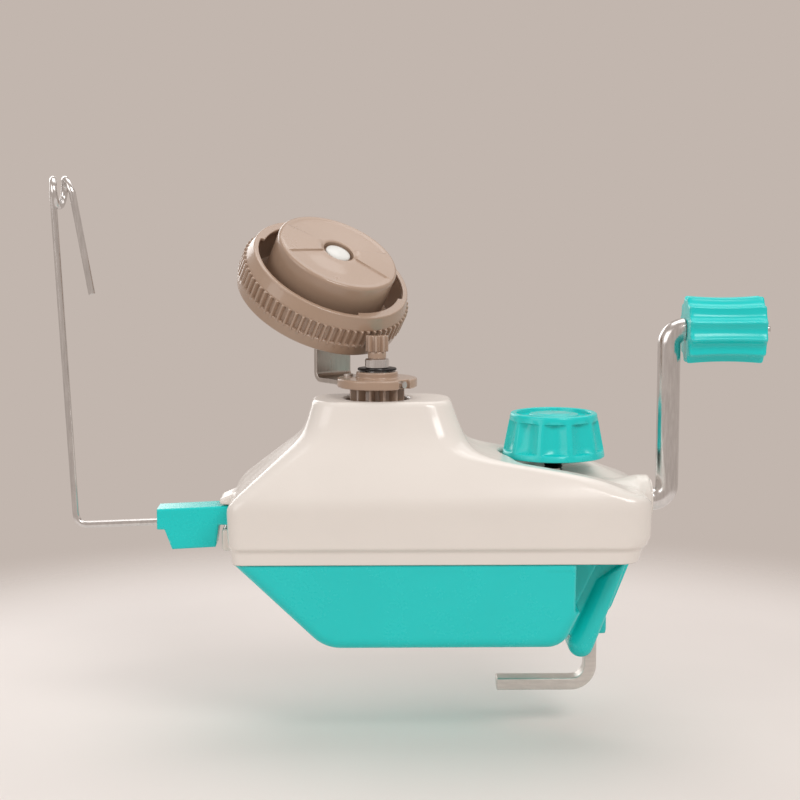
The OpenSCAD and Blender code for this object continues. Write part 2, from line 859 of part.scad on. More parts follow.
// Rotor pinion on the post
pinion_pitch = 2 * PI * pinion_r / pinion_teeth;
module rotor_gear() {
    color(BROWN)
        translate([0, 0, pinion_z])
            difference() {
                linear_extrude(pinion_top - pinion_z)
                    rotate(180 / pinion_teeth)
                        spur2d(pinion_teeth, pinion_r, tooth_h, tooth_root, 0.2 * pinion_pitch, 0.5 * pinion_pitch);
                translate([0, 0, -1])
                    cylinder(r = post_d / 2 + run_fit, h = 60);
            }
}

// Flange and collar over the arm strip
screw_dir = -46;
module rotor_flange() {
    color(BROWN)
        difference() {
            union() {
                translate([0, 0, pinion_top])
                    cylinder(d = flange_d, h = flange_t);
                translate([0, 0, pinion_top])
                    cylinder(r = collar_r, h = flange_t + collar_h);
            }
            translate([0, 0, pinion_top - 1])
                cylinder(r = post_d / 2 + run_fit, h = 60);
            on_arm()
                box(-collar_r - 1, flange_d, -arm_w / 2, arm_w / 2, pinion_top - 1, pinion_top + arm_t);
            // notch with the set screw
            rotate([0, 0, screw_dir]) {
                box(flange_d / 2 - 2.2, flange_d, -2.6, 2.6, pinion_top - 1, flange_top + 1);
                translate([0, 0, pinion_top + flange_t / 2])
                    x_cyl(1.2, flange_d / 2 - 5, flange_d);
            }
            at_rivets()
                translate([0, 0, pinion_top - 1])
                    cylinder(r = 1, h = 10);
        }
}
module at_rivets() {
    on_arm()
        for (s = [-1, 1])
            translate([flange_d / 2 - 3.4, s * arm_w * 0.28, 0])
                children();
}
module set_screw() {
    color(STEEL)
        rotate([0, 0, screw_dir])
            translate([0, 0, pinion_top + flange_t / 2])
                x_cyl(1.2, flange_d / 2 - 5, flange_d / 2 - 0.4);
}
module arm_rivets() {
    color(STEEL)
        at_rivets()
            translate([0, 0, pinion_top]) {
                cylinder(r = 1, h = flange_t);
                translate([0, 0, flange_t])
                    cylinder(r = 1.7, h = 0.7);
            }
}

// Bent steel strip: flat on the rotor, riser, and a tilted plate under the spool
// In the strip's own plane, u runs outward from the spindle and the spool axis meets it at axle_u
plate_u = spool_off + sin(spool_tilt) * -plate_z;
plate_v = spool_c[2] + cos(spool_tilt) * plate_z;
plate_under_v = plate_v - arm_t * cos(spool_tilt);
plate_under_u = plate_u + arm_t * sin(spool_tilt);
fold = 90 - spool_tilt;
fold_cx = riser_x + arm_t + arm_bend;
// height at which the folded plate's upper face leaves the bend around fold_cx
fold_cz = plate_v + (fold_cx - plate_u) * tan(spool_tilt) - (arm_bend + arm_t) / cos(spool_tilt);
strip_len = (plate_u - fold_cx) / cos(spool_tilt) + 5.5;
bend_n = 14;
function strip_side(r_in, r_out) = concat(
    arc2(riser_x - arm_bend, pinion_top + arm_t + arm_bend, r_in, -90, 0, bend_n),
    arc2(fold_cx, fold_cz, r_out, 180, 180 - fold, bend_n)
);
strip_tip = [fold_cx + strip_len * cos(spool_tilt), fold_cz + strip_len * sin(spool_tilt)];
function strip_end(r) = [strip_tip[0] - r * sin(spool_tilt), strip_tip[1] + r * cos(spool_tilt)];
strip_outer = strip_side(arm_bend + arm_t, arm_bend);
strip_inner = strip_side(arm_bend, arm_bend + arm_t);
strip_outline = concat(
    [[-collar_r, pinion_top]],
    strip_outer,
    [strip_end(arm_bend), strip_end(arm_bend + arm_t)],
    [for (i = [len(strip_inner) - 1:-1:0]) strip_inner[i]],
    [[-collar_r, pinion_top + arm_t]]
);
module arm_bracket() {
    color(STEEL)
        on_arm()
            difference() {
                along_y(arm_w / 2)
                    polygon(strip_outline);
                translate([0, 0, pinion_top - 1])
                    cylinder(r = post_d / 2 + run_fit, h = arm_t + 2);
                translate([plate_u, 0, plate_v])
                    rotate([0, -spool_tilt, 0])
                        translate([0, 0, -arm_t - 1])
                            cylinder(r = axle_r - 0.6, h = arm_t + 2);
                for (s = [-1, 1])
                    translate([flange_d / 2 - 3.4, s * arm_w * 0.28, pinion_top - 1])
                        cylinder(r = 1, h = arm_t + 2);
            }
}

// Axle riveted through the strip, with a thrust collar below the spool
module spool_axle() {
    color(STEEL)
        on_spool() {
            translate([0, 0, plate_z])
                cylinder(r = axle_r, h = cap_seat - plate_z);
            translate([0, 0, plate_z])
                cylinder(r = hub_r - 1, h = ring_low - gap - plate_z);
            translate([0, 0, plate_z - arm_t])
                cylinder(r = axle_r - 0.6, h = arm_t);
            translate([0, 0, plate_z - arm_t - 1.4])
                cylinder(r = axle_r + 0.8, h = 1.4);
        }
}
module axle_cap() {
    color(IVORY)
        on_spool()
            translate([0, 0, cap_seat])
                intersection() {
                    cylinder(r = cap_r, h = 2.4);
                    translate([0, 0, 2.4 - 14])
                        sphere(r = 14, $fn = 128);
                }
}

// Spool ring: a cup with a plain lower band, a ribbed band, a shoulder and an upper rim
rib_pitch = 2 * PI * ring_r / ring_teeth;
rib_in = 0.6;
module ring_gear() {
    color(BROWN)
        on_spool()
            difference() {
                union() {
                    rotate([0, 0, 360 * 20 / ring_teeth])
                        rotate_extrude()
                            polygon([
                                [axle_r + run_fit, ring_low],
                                [band_r - 1.0, ring_low],
                                [band_r - 0.4, ring_low + 0.6],
                                [band_r, rib_low],
                                [root_r, rib_low],
                                [root_r, rib_top],
                                [shoulder_r, rib_top],
                                [shoulder_r, rib_top + 0.6],
                                [rim_r, ring_top - 0.8],
                                [rim_r - 0.3, ring_top],
                                [rim_r - ring_wall, ring_top],
                                [rim_r - ring_wall, ring_low + ring_floor],
                                [axle_r + run_fit, ring_low + ring_floor]
                            ]);
                    for (i = [0:ring_teeth - 1])
                        rotate([0, 0, 360 * (i + 0.5) / ring_teeth])
                            translate([root_r, 0, rib_low - rib_in])
                                linear_extrude(rib_top - rib_low + 1.5 * rib_in)
                                    polygon([
                                        [-0.5, -0.25 * rib_pitch],
                                        [rib_tip + rib_root, -0.13 * rib_pitch],
                                        [rib_tip + rib_root, 0.13 * rib_pitch],
                                        [-0.5, 0.25 * rib_pitch]
                                    ]);
                    // inward lips on the rim
                    for (a = [-11, 169])
                        rotate([0, 0, a])
                            translate([0, 0, ring_top - 1.2])
                                rotate_extrude(angle = 55)
                                    translate([rim_r - ring_wall - 1.4, 0])
                                        square([2, 1.2]);
                }
                at_drum_screws()
                    drum_screw_bore();
            }
}
module at_drum_screws() {
    for (a = [60, 180, 300])
        rotate([0, 0, a])
            translate([drum_r - 5, 0, 0])
                children();
}
module drum_screw_bore() {
    translate([0, 0, ring_low - 1]) {
        cylinder(r = 1.2 + screw_fit, h = 8);
        cylinder(r = 2.2 + screw_fit, h = 2);
    }
}

// Winding drum: hollow, with a hub on the axle and a seat for the axle cap
drum_t = 2;
drum_foot = ring_low + ring_floor;
module winding_drum() {
    color(BROWN)
        on_spool()
            difference() {
                union() {
                    rotate_extrude()
                        polygon([
                            [axle_r + run_fit, drum_foot],
                            [hub_r, drum_foot],
                            [hub_r, drum_h - 6.5],
                            [drum_r - drum_t, drum_h - 3.2],
                            [drum_r - drum_t, drum_foot],
                            [drum_r, drum_foot],
                            [drum_r, drum_h - 1.2],
                            [drum_r - 0.9, drum_h - 0.3],
                            [cap_r + 2.2, drum_h + 0.5],
                            [cap_r + 1, drum_h],
                            [cap_r + 1, cap_seat - gap],
                            [axle_r + run_fit, cap_seat - gap]
                        ]);
                    at_drum_screws()
                        translate([0, 0, drum_foot])
                            cylinder(r = 2.6, h = drum_h - 3 - drum_foot);
                }
                at_drum_screws()
                    translate([0, 0, drum_foot - 1])
                        cylinder(r = 1.2 + screw_fit / 2, h = 10);
            }
}
module drum_screws() {
    color(STEEL)
        on_spool()
            at_drum_screws() {
                translate([0, 0, ring_low + 0.1])
                    cylinder(r = 2.2, h = 0.9);
                translate([0, 0, ring_low + 0.1])
                    cylinder(r = 1.2, h = 8);
            }
}

// Fluted clamp knob with a hollow underside
knob_slant = atan2((knob_d - knob_top_d) / 2, knob_h);
knob_phase = -4;
flute_d = 1.0;
module clamp_knob() {
    flute_r = PI * knob_d / knob_flutes * 0.9;
    color(TEAL)
        at_knob()
            translate([0, 0, knob_z])
                difference() {
                    cylinder(d1 = knob_d, d2 = knob_top_d, h = knob_h);
                    for (i = [0:knob_flutes - 1])
                        rotate([0, 0, 360 * (i + 0.5) / knob_flutes + knob_phase])
                            translate([knob_d / 2 + flute_r - flute_d, 0, 0])
                                rotate([0, -knob_slant, 0])
                                    translate([0, 0, 2.4])
                                        cylinder(r = flute_r, h = knob_h - 5);
                    // recess in the top, around the cap
                    translate([0, 0, knob_h - 1.6])
                        cylinder(d = knob_top_d - 4, h = 5);
                    // hollow underside
                    translate([0, 0, -1])
                        difference() {
                            cylinder(d = knob_top_d - 5, h = knob_h - 6);
                            cylinder(r = insert_r + 2.4, h = knob_h);
                        }
                    translate([0, 0, -1])
                        cylinder(r = insert_r, h = knob_h - 1);
                }
}
module knob_insert() {
    color(DARK)
        at_knob()
            difference() {
                translate([0, 0, deck_z + gap])
                    cylinder(r = insert_r, h = knob_z + knob_h - 2 - deck_z - gap);
                translate([0, 0, deck_z - 1])
                    cylinder(r = stud_d / 2 + run_fit, h = stud_top + 0.6 - deck_z + 1);
            }
}
module knob_cap() {
    color(TEAL)
        at_knob()
            translate([0, 0, knob_z + knob_h - 1.6]) {
                cylinder(d = knob_top_d - 13, h = 1.1);
                cylinder(d = knob_top_d - 19, h = 1.4);
            }
}

// Flat clamp bar: lug around the screw, arm, upright behind the tongue and hook under the table
module clamp_hook() {
    zt = arm_z + bar_t;
    color(STEEL)
        difference() {
            union() {
                box(knob_x - lug_r, bar_x + bar_t / 2, -bar_w / 2, bar_w / 2, arm_z, zt);
                box(knob_x - lug_r, knob_x + lug_r, -bar_w / 2, knob_y, arm_z, zt);
                at_knob()
                    translate([0, 0, arm_z])
                        cylinder(r = lug_r, h = bar_t);
                box(bar_x - bar_t / 2, bar_x + bar_t / 2, -bar_w / 2, bar_w / 2, hook_z + bar_bend, zt);
                translate([bar_x - bar_t / 2 - bar_bend, 0, hook_z + bar_bend])
                    rotate([90, 0, 0])
                        rotate([0, 0, -90])
                            rotate_extrude(angle = 90)
                                translate([bar_bend, -bar_w / 2])
                                    square([bar_t, bar_w]);
                box(bar_x + bar_t / 2 - hook_len, bar_x - bar_t / 2 - bar_bend, -bar_w / 2, bar_w / 2,
                    hook_z - bar_t, hook_z);
            }
            at_knob()
                translate([0, 0, arm_z - 1])
                    cylinder(r = stud_d / 2, h = bar_t + 2);
        }
}
nut_h = 3.2;
module clamp_stud() {
    color(STEEL)
        at_knob()
            translate([0, 0, arm_z - nut_h - 0.8])
                cylinder(d = stud_d, h = stud_top - arm_z + nut_h + 0.8);
}
module stud_nut() {
    color(STEEL)
        at_knob()
            translate([0, 0, arm_z - nut_h])
                difference() {
                    cylinder(r = stud_d * 0.92, h = nut_h, $fn = 6);
                    translate([0, 0, -1])
                        cylinder(d = stud_d, h = nut_h + 2);
                }
}

// Moulded guide bracket: tongue in the casing socket, tapered body and a bore for the wire
bracket_fall = 1.2;
bracket_under = 1.8;
bracket_step = 2.6;
bracket_drop = 8.8;
heel_in = 4;
module guide_bracket() {
    x0 = -wall_left - gap;
    x1 = -wall_left - bracket_len;
    zt = socket_z + socket_h + 1;
    color(TEAL)
        difference() {
            union() {
                along_y(bracket_w / 2)
                    polygon([
                        [x0, zt],
                        [x1, zt - bracket_fall],
                        [x1, wire_z - bracket_under],
                        [x1 + bracket_step, wire_z - bracket_under],
                        [x1 + 2 * bracket_step, wire_z - bracket_drop],
                        [x0 - heel_in - 1.1, wire_z - bracket_drop + 0.8],
                        [x0 - heel_in, socket_z - 0.9],
                        [x0, socket_z - 0.9]
                    ]);
                box(x0 - 1, x0 + gap + tongue_len - gap, -socket_w / 2, socket_w / 2, socket_z, socket_z + socket_h);
            }
            translate([0, 0, wire_z])
                x_cyl(wire_d / 2 + 0.02, x1 - 1, x1 + 8);
        }
}

// Guide wire: out of the bracket, up, round the eye and down the tail
wire_x0 = -wall_left - bracket_len + 8;
wire_drop = 1.0;
wire_bend = 4.5;
wire_lean = 2.8;
eye_turns = 1.5;
eye_pitch = 4.0;
eye_flare = 2.2;
function unit(v) = v / norm(v);
function eye_x(t) = eye_x0 + eye_pitch * t + eye_flare * max(0, 1 - 4 * (eye_turns - t));
wire_foot = [-guide_end, 0, wire_z - wire_drop];
eye_x0 = -guide_end - (eye_z - wire_z + wire_drop) * tan(wire_lean);
run_dir = unit([-1, 0, -wire_drop / (guide_end - wall_left - bracket_len)]);
rise_dir = [-sin(wire_lean), 0, cos(wire_lean)];
tail_dir = unit([0.172, 0, -1]);
eye_end = [eye_x(eye_turns), -2 * eye_r, eye_z];
wire_path = concat(
    [[wire_x0, 0, wire_z], [-wall_left - bracket_len - 0.5, 0, wire_z]],
    [for (i = [0:6]) let (a = i / 6)
        wire_foot - run_dir * wire_bend * (1 - a) * (1 - a) + rise_dir * wire_bend * a * a],
    [wire_foot + rise_dir * (eye_z - wire_foot[2]) * 0.5],
    [for (i = [0:36]) let (t = i / 24, a = 180 - 360 * t)
        [eye_x(t), -eye_r - eye_r * cos(a), eye_z + eye_r * sin(a)]],
    [eye_end + tail_dir * 2, eye_end + tail_dir * tail_len]
);
module tube(path, r, n) {
    m = len(path);
    tan_ = [for (i = [0:m - 1]) unit(path[min(i + 1, m - 1)] - path[max(i - 1, 0)])];
    side = [
        for (i = 0, u = [0, 1, 0]; i < m; i = i + 1,
            u = i < m ? unit(u - tan_[i] * (u * tan_[i])) : u)
            unit(u - tan_[i] * (u * tan_[i]))
    ];
    pts = [
        for (i = [0:m - 1]) for (j = [0:n - 1])
            let (v = cross(tan_[i], side[i]), a = 360 * j / n)
                path[i] + r * (cos(a) * side[i] + sin(a) * v)
    ];
    body = [
        for (i = [0:m - 2]) for (j = [0:n - 1]) let (q = (j + 1) % n, a = i * n, b = a + n)
            each [[a + j, b + j, b + q], [a + j, b + q, a + q]]
    ];
    polyhedron(pts, concat(body, [[for (j = [0:n - 1]) j], [for (j = [n - 1:-1:0]) (m - 1) * n + j]]), convexity = 8);
}
module guide_wire() {
    color(STEEL)
        tube(wire_path, wire_d / 2, 10);
}

top_shell();
base_shell();
gear_frame();
spindle_post();
post_clip();
sun_pinion();
crank_bush();
inner_bush();
casing_screws();
frame_screws();
crank_rod();
crown_gear();
gear_pin();
shaft_ring();
grip_washer();
crank_grip();
rotor_gear();
rotor_flange();
arm_bracket();
arm_rivets();
set_screw();
spool_axle();
axle_cap();
ring_gear();
winding_drum();
drum_screws();
clamp_knob();
knob_insert();
knob_cap();
clamp_hook();
clamp_stud();
stud_nut();
guide_bracket();
guide_wire();
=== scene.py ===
"""Yarn ball winder: moulded shells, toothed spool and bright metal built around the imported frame."""
import json
import math

import bpy
import numpy as np
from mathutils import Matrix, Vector

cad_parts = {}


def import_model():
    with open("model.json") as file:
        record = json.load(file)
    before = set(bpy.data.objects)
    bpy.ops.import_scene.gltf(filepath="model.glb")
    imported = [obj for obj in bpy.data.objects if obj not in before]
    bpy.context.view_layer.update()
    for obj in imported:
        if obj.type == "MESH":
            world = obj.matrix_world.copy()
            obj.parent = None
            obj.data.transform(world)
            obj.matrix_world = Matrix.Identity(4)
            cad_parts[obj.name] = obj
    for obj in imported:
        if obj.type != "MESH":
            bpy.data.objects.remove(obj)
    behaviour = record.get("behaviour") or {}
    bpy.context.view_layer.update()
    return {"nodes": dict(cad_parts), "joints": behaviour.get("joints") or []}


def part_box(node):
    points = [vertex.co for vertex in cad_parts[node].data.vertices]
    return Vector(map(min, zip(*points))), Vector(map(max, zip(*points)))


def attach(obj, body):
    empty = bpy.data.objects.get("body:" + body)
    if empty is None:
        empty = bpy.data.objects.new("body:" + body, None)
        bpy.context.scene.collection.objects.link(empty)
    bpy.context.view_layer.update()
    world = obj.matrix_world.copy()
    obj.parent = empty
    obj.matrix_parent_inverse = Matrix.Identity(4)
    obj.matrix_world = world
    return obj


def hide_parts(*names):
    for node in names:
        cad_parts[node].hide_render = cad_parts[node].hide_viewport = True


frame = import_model()
joints = {joint["name"]: joint for joint in frame["joints"]}
MM = 0.001


# ---------------------------------------------------------------- sizes in millimetres, from the frame
def span(node):
    """Lowest and highest corner of a CAD node."""
    return [np.round(np.array(corner) / MM, 3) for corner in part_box(node)]


def pivot(joint):
    """Place of a joint."""
    return np.round(np.array(joints[joint]["pos_m"]) / MM, 4)


# upper shell
top_low, top_high = span("top_shell")
BASE_H, TURRET_Z = top_low[2], top_high[2]
BOSS_END, WALL_HALF = top_high[0], top_high[1]
WALL_LEFT, WALL_RIGHT = -top_low[0] - 3.4, BOSS_END - 2.3
TURRET_H = 31.2
TURRET_LEFT, TURRET_RIGHT, TURRET_HALF = 22.0, 25.0, 13.6
LIP_Z, WALL_Z = BASE_H + 5.5, TURRET_Z - TURRET_H
CORNER_L, CORNER_R, TURRET_CORNER = 5.0, 9.0, 10.0
SHELL_T = 2.2
WELL_R, WELL_Z, STUD_HOLE_R, BUSH_R, BUSH_LEN = 11.27, 60.0, 2.9, 6.0, 6.0

# crank and grip
CRANK_Z, GRIP_Z = pivot("crank_spin")[2], pivot("grip_spin")[2]
rod_low, rod_high = span("crank_rod")
CRANK_R, PIN_END = CRANK_Z - rod_low[2], rod_high[0]
CRANK_BEND, SHAFT_R, PIN_R, SHAFT_START, SHOULDER_X = 5.2, 2.5, 1.8, 42.0, 89.5
grip_low, grip_high = span("crank_grip")
GRIP_X, GRIP_LEN = grip_low[0], grip_high[0] - grip_low[0]
GRIP_R, GRIP_WAIST, GRIP_FLUTES, GRIP_TURN = 12.2, 0.7, 12, 14.0
ARM_X = GRIP_X - 0.4 - CRANK_BEND
BOSS_R, BOSS_FULL, BOSS_FADE, BOSS_TAPER = 8.6, 91.5, 74.0, 0.2

# knob and deck
KNOB_X, KNOB_Y = pivot("knob_turn")[:2]
knob_low, knob_high = span("clamp_knob")
KNOB_Z, KNOB_H, KNOB_R = knob_low[2], knob_high[2] - knob_low[2], knob_high[0] - KNOB_X
KNOB_TOP_R, KNOB_FLUTES, KNOB_PHASE = KNOB_R - 3.0, 10, -4.0
DECK_Z, DECK_SLOPE, TROUGH_R, SEAT_R = KNOB_Z - 4.6, math.radians(11.5), 44.0, KNOB_R + 1.2

# spool, rotor and post
SPOOL_C = pivot("spool_spin")
spool_axis = joints["spool_spin"]["axis"]
SPOOL_TILT = math.degrees(math.acos(spool_axis[2]))
SPOOL_LEAN = math.degrees(math.atan2(spool_axis[1], spool_axis[0]))
PINION_LOW, PINION_TOP = (corner[2] for corner in span("rotor_gear"))
FLANGE_TOP, COLLAR_TOP = PINION_TOP + 3.2, span("rotor_flange")[1][2]
SUN_LOW, SUN_TOP = (corner[2] for corner in span("sun_pinion"))
POST_LOW, POST_TOP = (corner[2] for corner in span("spindle_post"))
CLIP_LOW, CLIP_TOP = (corner[2] for corner in span("post_clip"))
POST_R, POST_FOOT_R, GROOVE_R, TENON_R, CLIP_R = 4.2, 5.5, 3.2, 1.2, 6.8
FLANGE_R, COLLAR_R, NOTCH_R, NOTCH_W, NOTCH_TURN = 14.0, 7.3, 11.8, 5.2, -46
STRIP_T, STRIP_W, STRIP_BEND, STRIP_BACK = 1.8, 15.5, 1.8, 7.3
STRIP_UP_X, STRIP_DOWN, STRIP_PAST = 24.5, 8.3, 5.5

# clamp bar
hook_low, hook_high = span("clamp_hook")
BAR_T, BAR_W, BAR_BEND, LUG_R = 4.2, 7.4, 4.8, 5.0
BAR_X, HOOK_END = hook_high[0] - BAR_T / 2, hook_low[0]
HOOK_Z, LUG_Z, LUG_TOP = hook_low[2] + BAR_T, hook_high[2] - BAR_T, hook_high[2]
HOOK_DROP = joints["clamp_slide"]["range_m"][1] / MM
FLOOR_Z = hook_low[2] - HOOK_DROP - 0.3

# yarn guide
bracket_low, bracket_high = span("guide_bracket")
SOCKET_Z, SOCKET_H, SOCKET_W, SLIDE_GAP, HOOD_SLOPE = WALL_Z - 12, 5.0, 8.0, 0.4, 0.4
WIRE_Z, WIRE_R, WIRE_BEND, BORE_LEN = SOCKET_Z - 0.7, 1.18, 4.5, 8.0


# ---------------------------------------------------------------- materials
def lin(r, g, b):
    """Linear colour of an sRGB triple, 0 to 255."""
    scaled = (c / 255.0 for c in (r, g, b))
    return (*(c / 12.92 if c <= 0.04045 else ((c + 0.055) / 1.055) ** 2.4 for c in scaled), 1.0)


def shade(rgb, k):
    """The same colour k times as bright."""
    return tuple(min(1.0, c * k) for c in rgb[:3]) + (1.0,)


def mix_colour(tree, fac, a, b):
    """Mix node between two colours, each a tuple or a socket."""
    node = tree.nodes.new("ShaderNodeMix")
    node.data_type = "RGBA"
    sockets = {s.identifier: s for s in node.inputs}
    for key, value in (("Factor_Float", fac), ("A_Color", a), ("B_Color", b)):
        if isinstance(value, tuple):
            sockets[key].default_value = value
        else:
            tree.links.new(value, sockets[key])
    return {s.identifier: s for s in node.outputs}["Result_Color"]


class Nodes:
    """Small helper that adds and links a material's nodes."""

    def __init__(self, name):
        self.mat = bpy.data.materials.new(name)
        self.mat.use_nodes = True
        self.tree = self.mat.node_tree
        self.bsdf = self.tree.nodes["Principled BSDF"]
        self.coord = self.new("ShaderNodeTexCoord").outputs["Object"]

    def new(self, kind, **values):
        node = self.tree.nodes.new(kind)
        for key, value in values.items():
            node.inputs[key.replace("_", " ")].default_value = value
        return node

    def link(self, a, b):
        self.tree.links.new(a, b)

    def noise(self, scale, detail=3.0, rough=0.55, stretch=(1.0, 1.0, 1.0)):
        mapping = self.new("ShaderNodeMapping", Scale=stretch)
        node = self.new("ShaderNodeTexNoise", Scale=scale, Detail=detail, Roughness=rough)
        self.link(self.coord, mapping.inputs["Vector"])
        self.link(mapping.outputs["Vector"], node.inputs["Vector"])
        return node.outputs["Fac"]

    def remap(self, value, a, b, low=0.3, high=0.7):
        node = self.new("ShaderNodeMapRange", From_Min=low, From_Max=high, To_Min=a, To_Max=b)
        self.link(value, node.inputs["Value"])
        return node.outputs["Result"]

    def math(self, operation, a, b):
        node = self.new("ShaderNodeMath")
        node.operation = operation
        self.link(a, node.inputs[0])
        if isinstance(b, float):
            node.inputs[1].default_value = b
        else:
            self.link(b, node.inputs[1])
        return node.outputs["Value"]

    def mix(self, fac, a, b):
        return mix_colour(self.tree, fac, a, b)

    def edges(self, low, high):
        geometry = self.new("ShaderNodeNewGeometry")
        return self.remap(geometry.outputs["Pointiness"], 0.0, 1.0, low, high)

    def bump(self, height, strength, distance):
        node = self.new("ShaderNodeBump", Strength=strength, Distance=distance)
        self.link(height, node.inputs["Height"])
        self.link(node.outputs["Normal"], self.bsdf.inputs["Normal"])


MAT = {}


def plastic(name, rgb, rough, spread, tone, wear, peel, coat=0.0):
    """Moulded plastic: cloudy tone, faint flow lines, scuffed edges, uneven gloss and orange peel."""
    n = Nodes(name)
    base = lin(*rgb)
    pale = tuple(c + (1.0 - c) * 0.35 for c in base[:3]) + (1.0,)
    cloud = n.remap(n.noise(26.0, 4.0), 0.0, 1.0)
    flow = n.remap(n.noise(70.0, 3.0, 0.6, (0.25, 1.0, 2.2)), 0.0, 1.0)
    speck = n.remap(n.noise(2600.0, 2.0), 0.0, 1.0, 0.35, 0.65)
    colour = n.mix(cloud, shade(base, 1 - tone), shade(base, 1 + tone))
    colour = n.mix(n.math("MULTIPLY", flow, 0.25), colour, shade(base, 1 + 1.4 * tone))
    colour = n.mix(n.math("MULTIPLY", speck, 0.10), colour, shade(base, 1 - 2 * tone))
    colour = n.mix(n.math("MULTIPLY", n.edges(0.53, 0.64), wear), colour, pale)
    n.link(colour, n.bsdf.inputs["Base Color"])
    smear = n.remap(n.noise(55.0, 5.0, 0.65), -spread, spread)
    fine = n.remap(n.noise(900.0, 2.0), -0.25 * spread, 0.25 * spread)
    n.link(n.math("ADD", n.math("ADD", smear, fine), rough), n.bsdf.inputs["Roughness"])
    ripple = n.math("ADD", n.noise(420.0, 2.0), n.math("MULTIPLY", n.noise(2400.0, 1.0), 0.25))
    n.bump(ripple, peel, 0.0002)
    n.bsdf.inputs["Coat Weight"].default_value = coat
    n.bsdf.inputs["Coat Roughness"].default_value = 0.06
    MAT[name] = n.mat


def metal(name, rgb, rough, spread, grain, scale, dull, bump):
    """Drawn or plated metal: grain along one direction, dull patches and fine pits."""
    n = Nodes(name)
    base = lin(*rgb)
    n.bsdf.inputs["Metallic"].default_value = 1.0
    line = n.remap(n.noise(scale, 3.0, 0.6, grain), 0.0, 1.0)
    patch = n.remap(n.noise(130.0, 5.0, 0.65), 0.0, 1.0)
    colour = n.mix(line, shade(base, 0.88), shade(base, 1.06))
    colour = n.mix(n.math("MULTIPLY", patch, dull), colour, shade(base, 0.72))
    n.link(colour, n.bsdf.inputs["Base Color"])
    uneven = n.math("ADD", n.math("MULTIPLY", line, spread), n.math("MULTIPLY", patch, 0.8 * spread))
    n.link(n.math("ADD", uneven, rough), n.bsdf.inputs["Roughness"])
    n.bump(n.math("ADD", line, n.math("MULTIPLY", n.noise(2800.0, 2.0), 0.5)), bump, 0.00008)
    MAT[name] = n.mat


EVEN, ALONG_BAR = (1.0, 1.0, 1.0), (0.18, 1.0, 1.0)
ALONG_STRIP, ALONG_ROD = (1.0, 1.0, 0.2), (1.0, 1.0, 0.12)
plastic("white_shell", (233, 224, 216), rough=0.19, spread=0.05, tone=0.02, wear=0.25, peel=0.04, coat=0.15)
plastic("teal", (14, 206, 202), rough=0.25, spread=0.05, tone=0.035, wear=0.35, peel=0.05)
plastic("brown", (170, 142, 121), rough=0.32, spread=0.06, tone=0.05, wear=0.55, peel=0.07, coat=0.6)
plastic("ivory", (224, 222, 217), rough=0.25, spread=0.05, tone=0.02, wear=0.15, peel=0.08)
metal("steel", (226, 220, 215), rough=0.26, spread=0.14, grain=ALONG_BAR, scale=900.0, dull=0.45, bump=0.22)
metal("strip_steel", (196, 190, 184), rough=0.24, spread=0.10, grain=ALONG_STRIP, scale=700.0, dull=0.25,
      bump=0.15)
metal("bright_rod", (222, 220, 219), rough=0.14, spread=0.06, grain=ALONG_ROD, scale=1200.0, dull=0.15, bump=0.06)
metal("black", (52, 50, 50), rough=0.30, spread=0.10, grain=EVEN, scale=900.0, dull=0.3, bump=0.15)
metal("bronze", (190, 158, 98), rough=0.30, spread=0.10, grain=EVEN, scale=900.0, dull=0.3, bump=0.15)


# ---------------------------------------------------------------- pieces
AXIS_R = 0.01


def make(name, shape, body, nodes, slot, material=None, sharp=50, weighted=False):
    """A piece from (vertices in mm, faces[, normals]) that rides on a body in place of CAD nodes."""
    verts, faces, *normals = shape
    mesh = bpy.data.meshes.new(name)
    mesh.from_pydata((np.asarray(verts, float) * MM).tolist(), [], [tuple(map(int, f)) for f in faces])
    mesh.update()
    mesh.shade_smooth()
    if normals:
        mesh.normals_split_custom_set_from_vertices(normals[0].tolist())
    else:
        mesh.set_sharp_from_angle(angle=math.radians(sharp))
    mesh.materials.append(material or MAT[slot])
    obj = bpy.data.objects.new(name, mesh)
    bpy.context.scene.collection.objects.link(obj)
    if weighted:
        modifier = obj.modifiers.new("weighted", "WEIGHTED_NORMAL")
        modifier.weight = 100
        modifier.keep_sharp = True
    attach(obj, body)
    if nodes:
        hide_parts(*nodes)


def lerp(a, b, t):
    return a + (b - a) * t


def ease(t):
    return t * t * (3 - 2 * t)


def rot_z(degrees):
    c, s = math.cos(math.radians(degrees)), math.sin(math.radians(degrees))
    return np.array([[c, -s, 0], [s, c, 0], [0, 0, 1]])


def rot_y(degrees):
    c, s = math.cos(math.radians(degrees)), math.sin(math.radians(degrees))
    return np.array([[c, 0, s], [0, 1, 0], [-s, 0, c]])


def put(shape, where, turn=np.eye(3)):
    """A shape turned and then moved."""
    verts, faces = shape
    return np.asarray(verts, float) @ turn.T + np.asarray(where, float), faces


def on_spool(shape):
    """A shape built round Z set on the tilted spool."""
    return put(shape, SPOOL_C, rot_z(SPOOL_LEAN) @ rot_y(SPOOL_TILT))


def soften(points, radius, steps=3):
    """Rounds the corners of a closed outline."""
    points = [np.asarray(p, float) for p in points]
    out = []
    for i, p in enumerate(points):
        a, b = points[i - 1] - p, points[(i + 1) % len(points)] - p
        len_a, len_b = np.linalg.norm(a), np.linalg.norm(b)
        a, b = a / len_a, b / len_b
        half = math.acos(max(-1.0, min(1.0, float(a @ b)))) / 2
        t = min(radius / max(math.tan(half), 1e-6), 0.48 * len_a, 0.48 * len_b)
        for u in np.linspace(0, 1, steps + 1):
            out.append((1 - u) ** 2 * (p + a * t) + 2 * u * (1 - u) * p + u * u * (p + b * t))
    return out


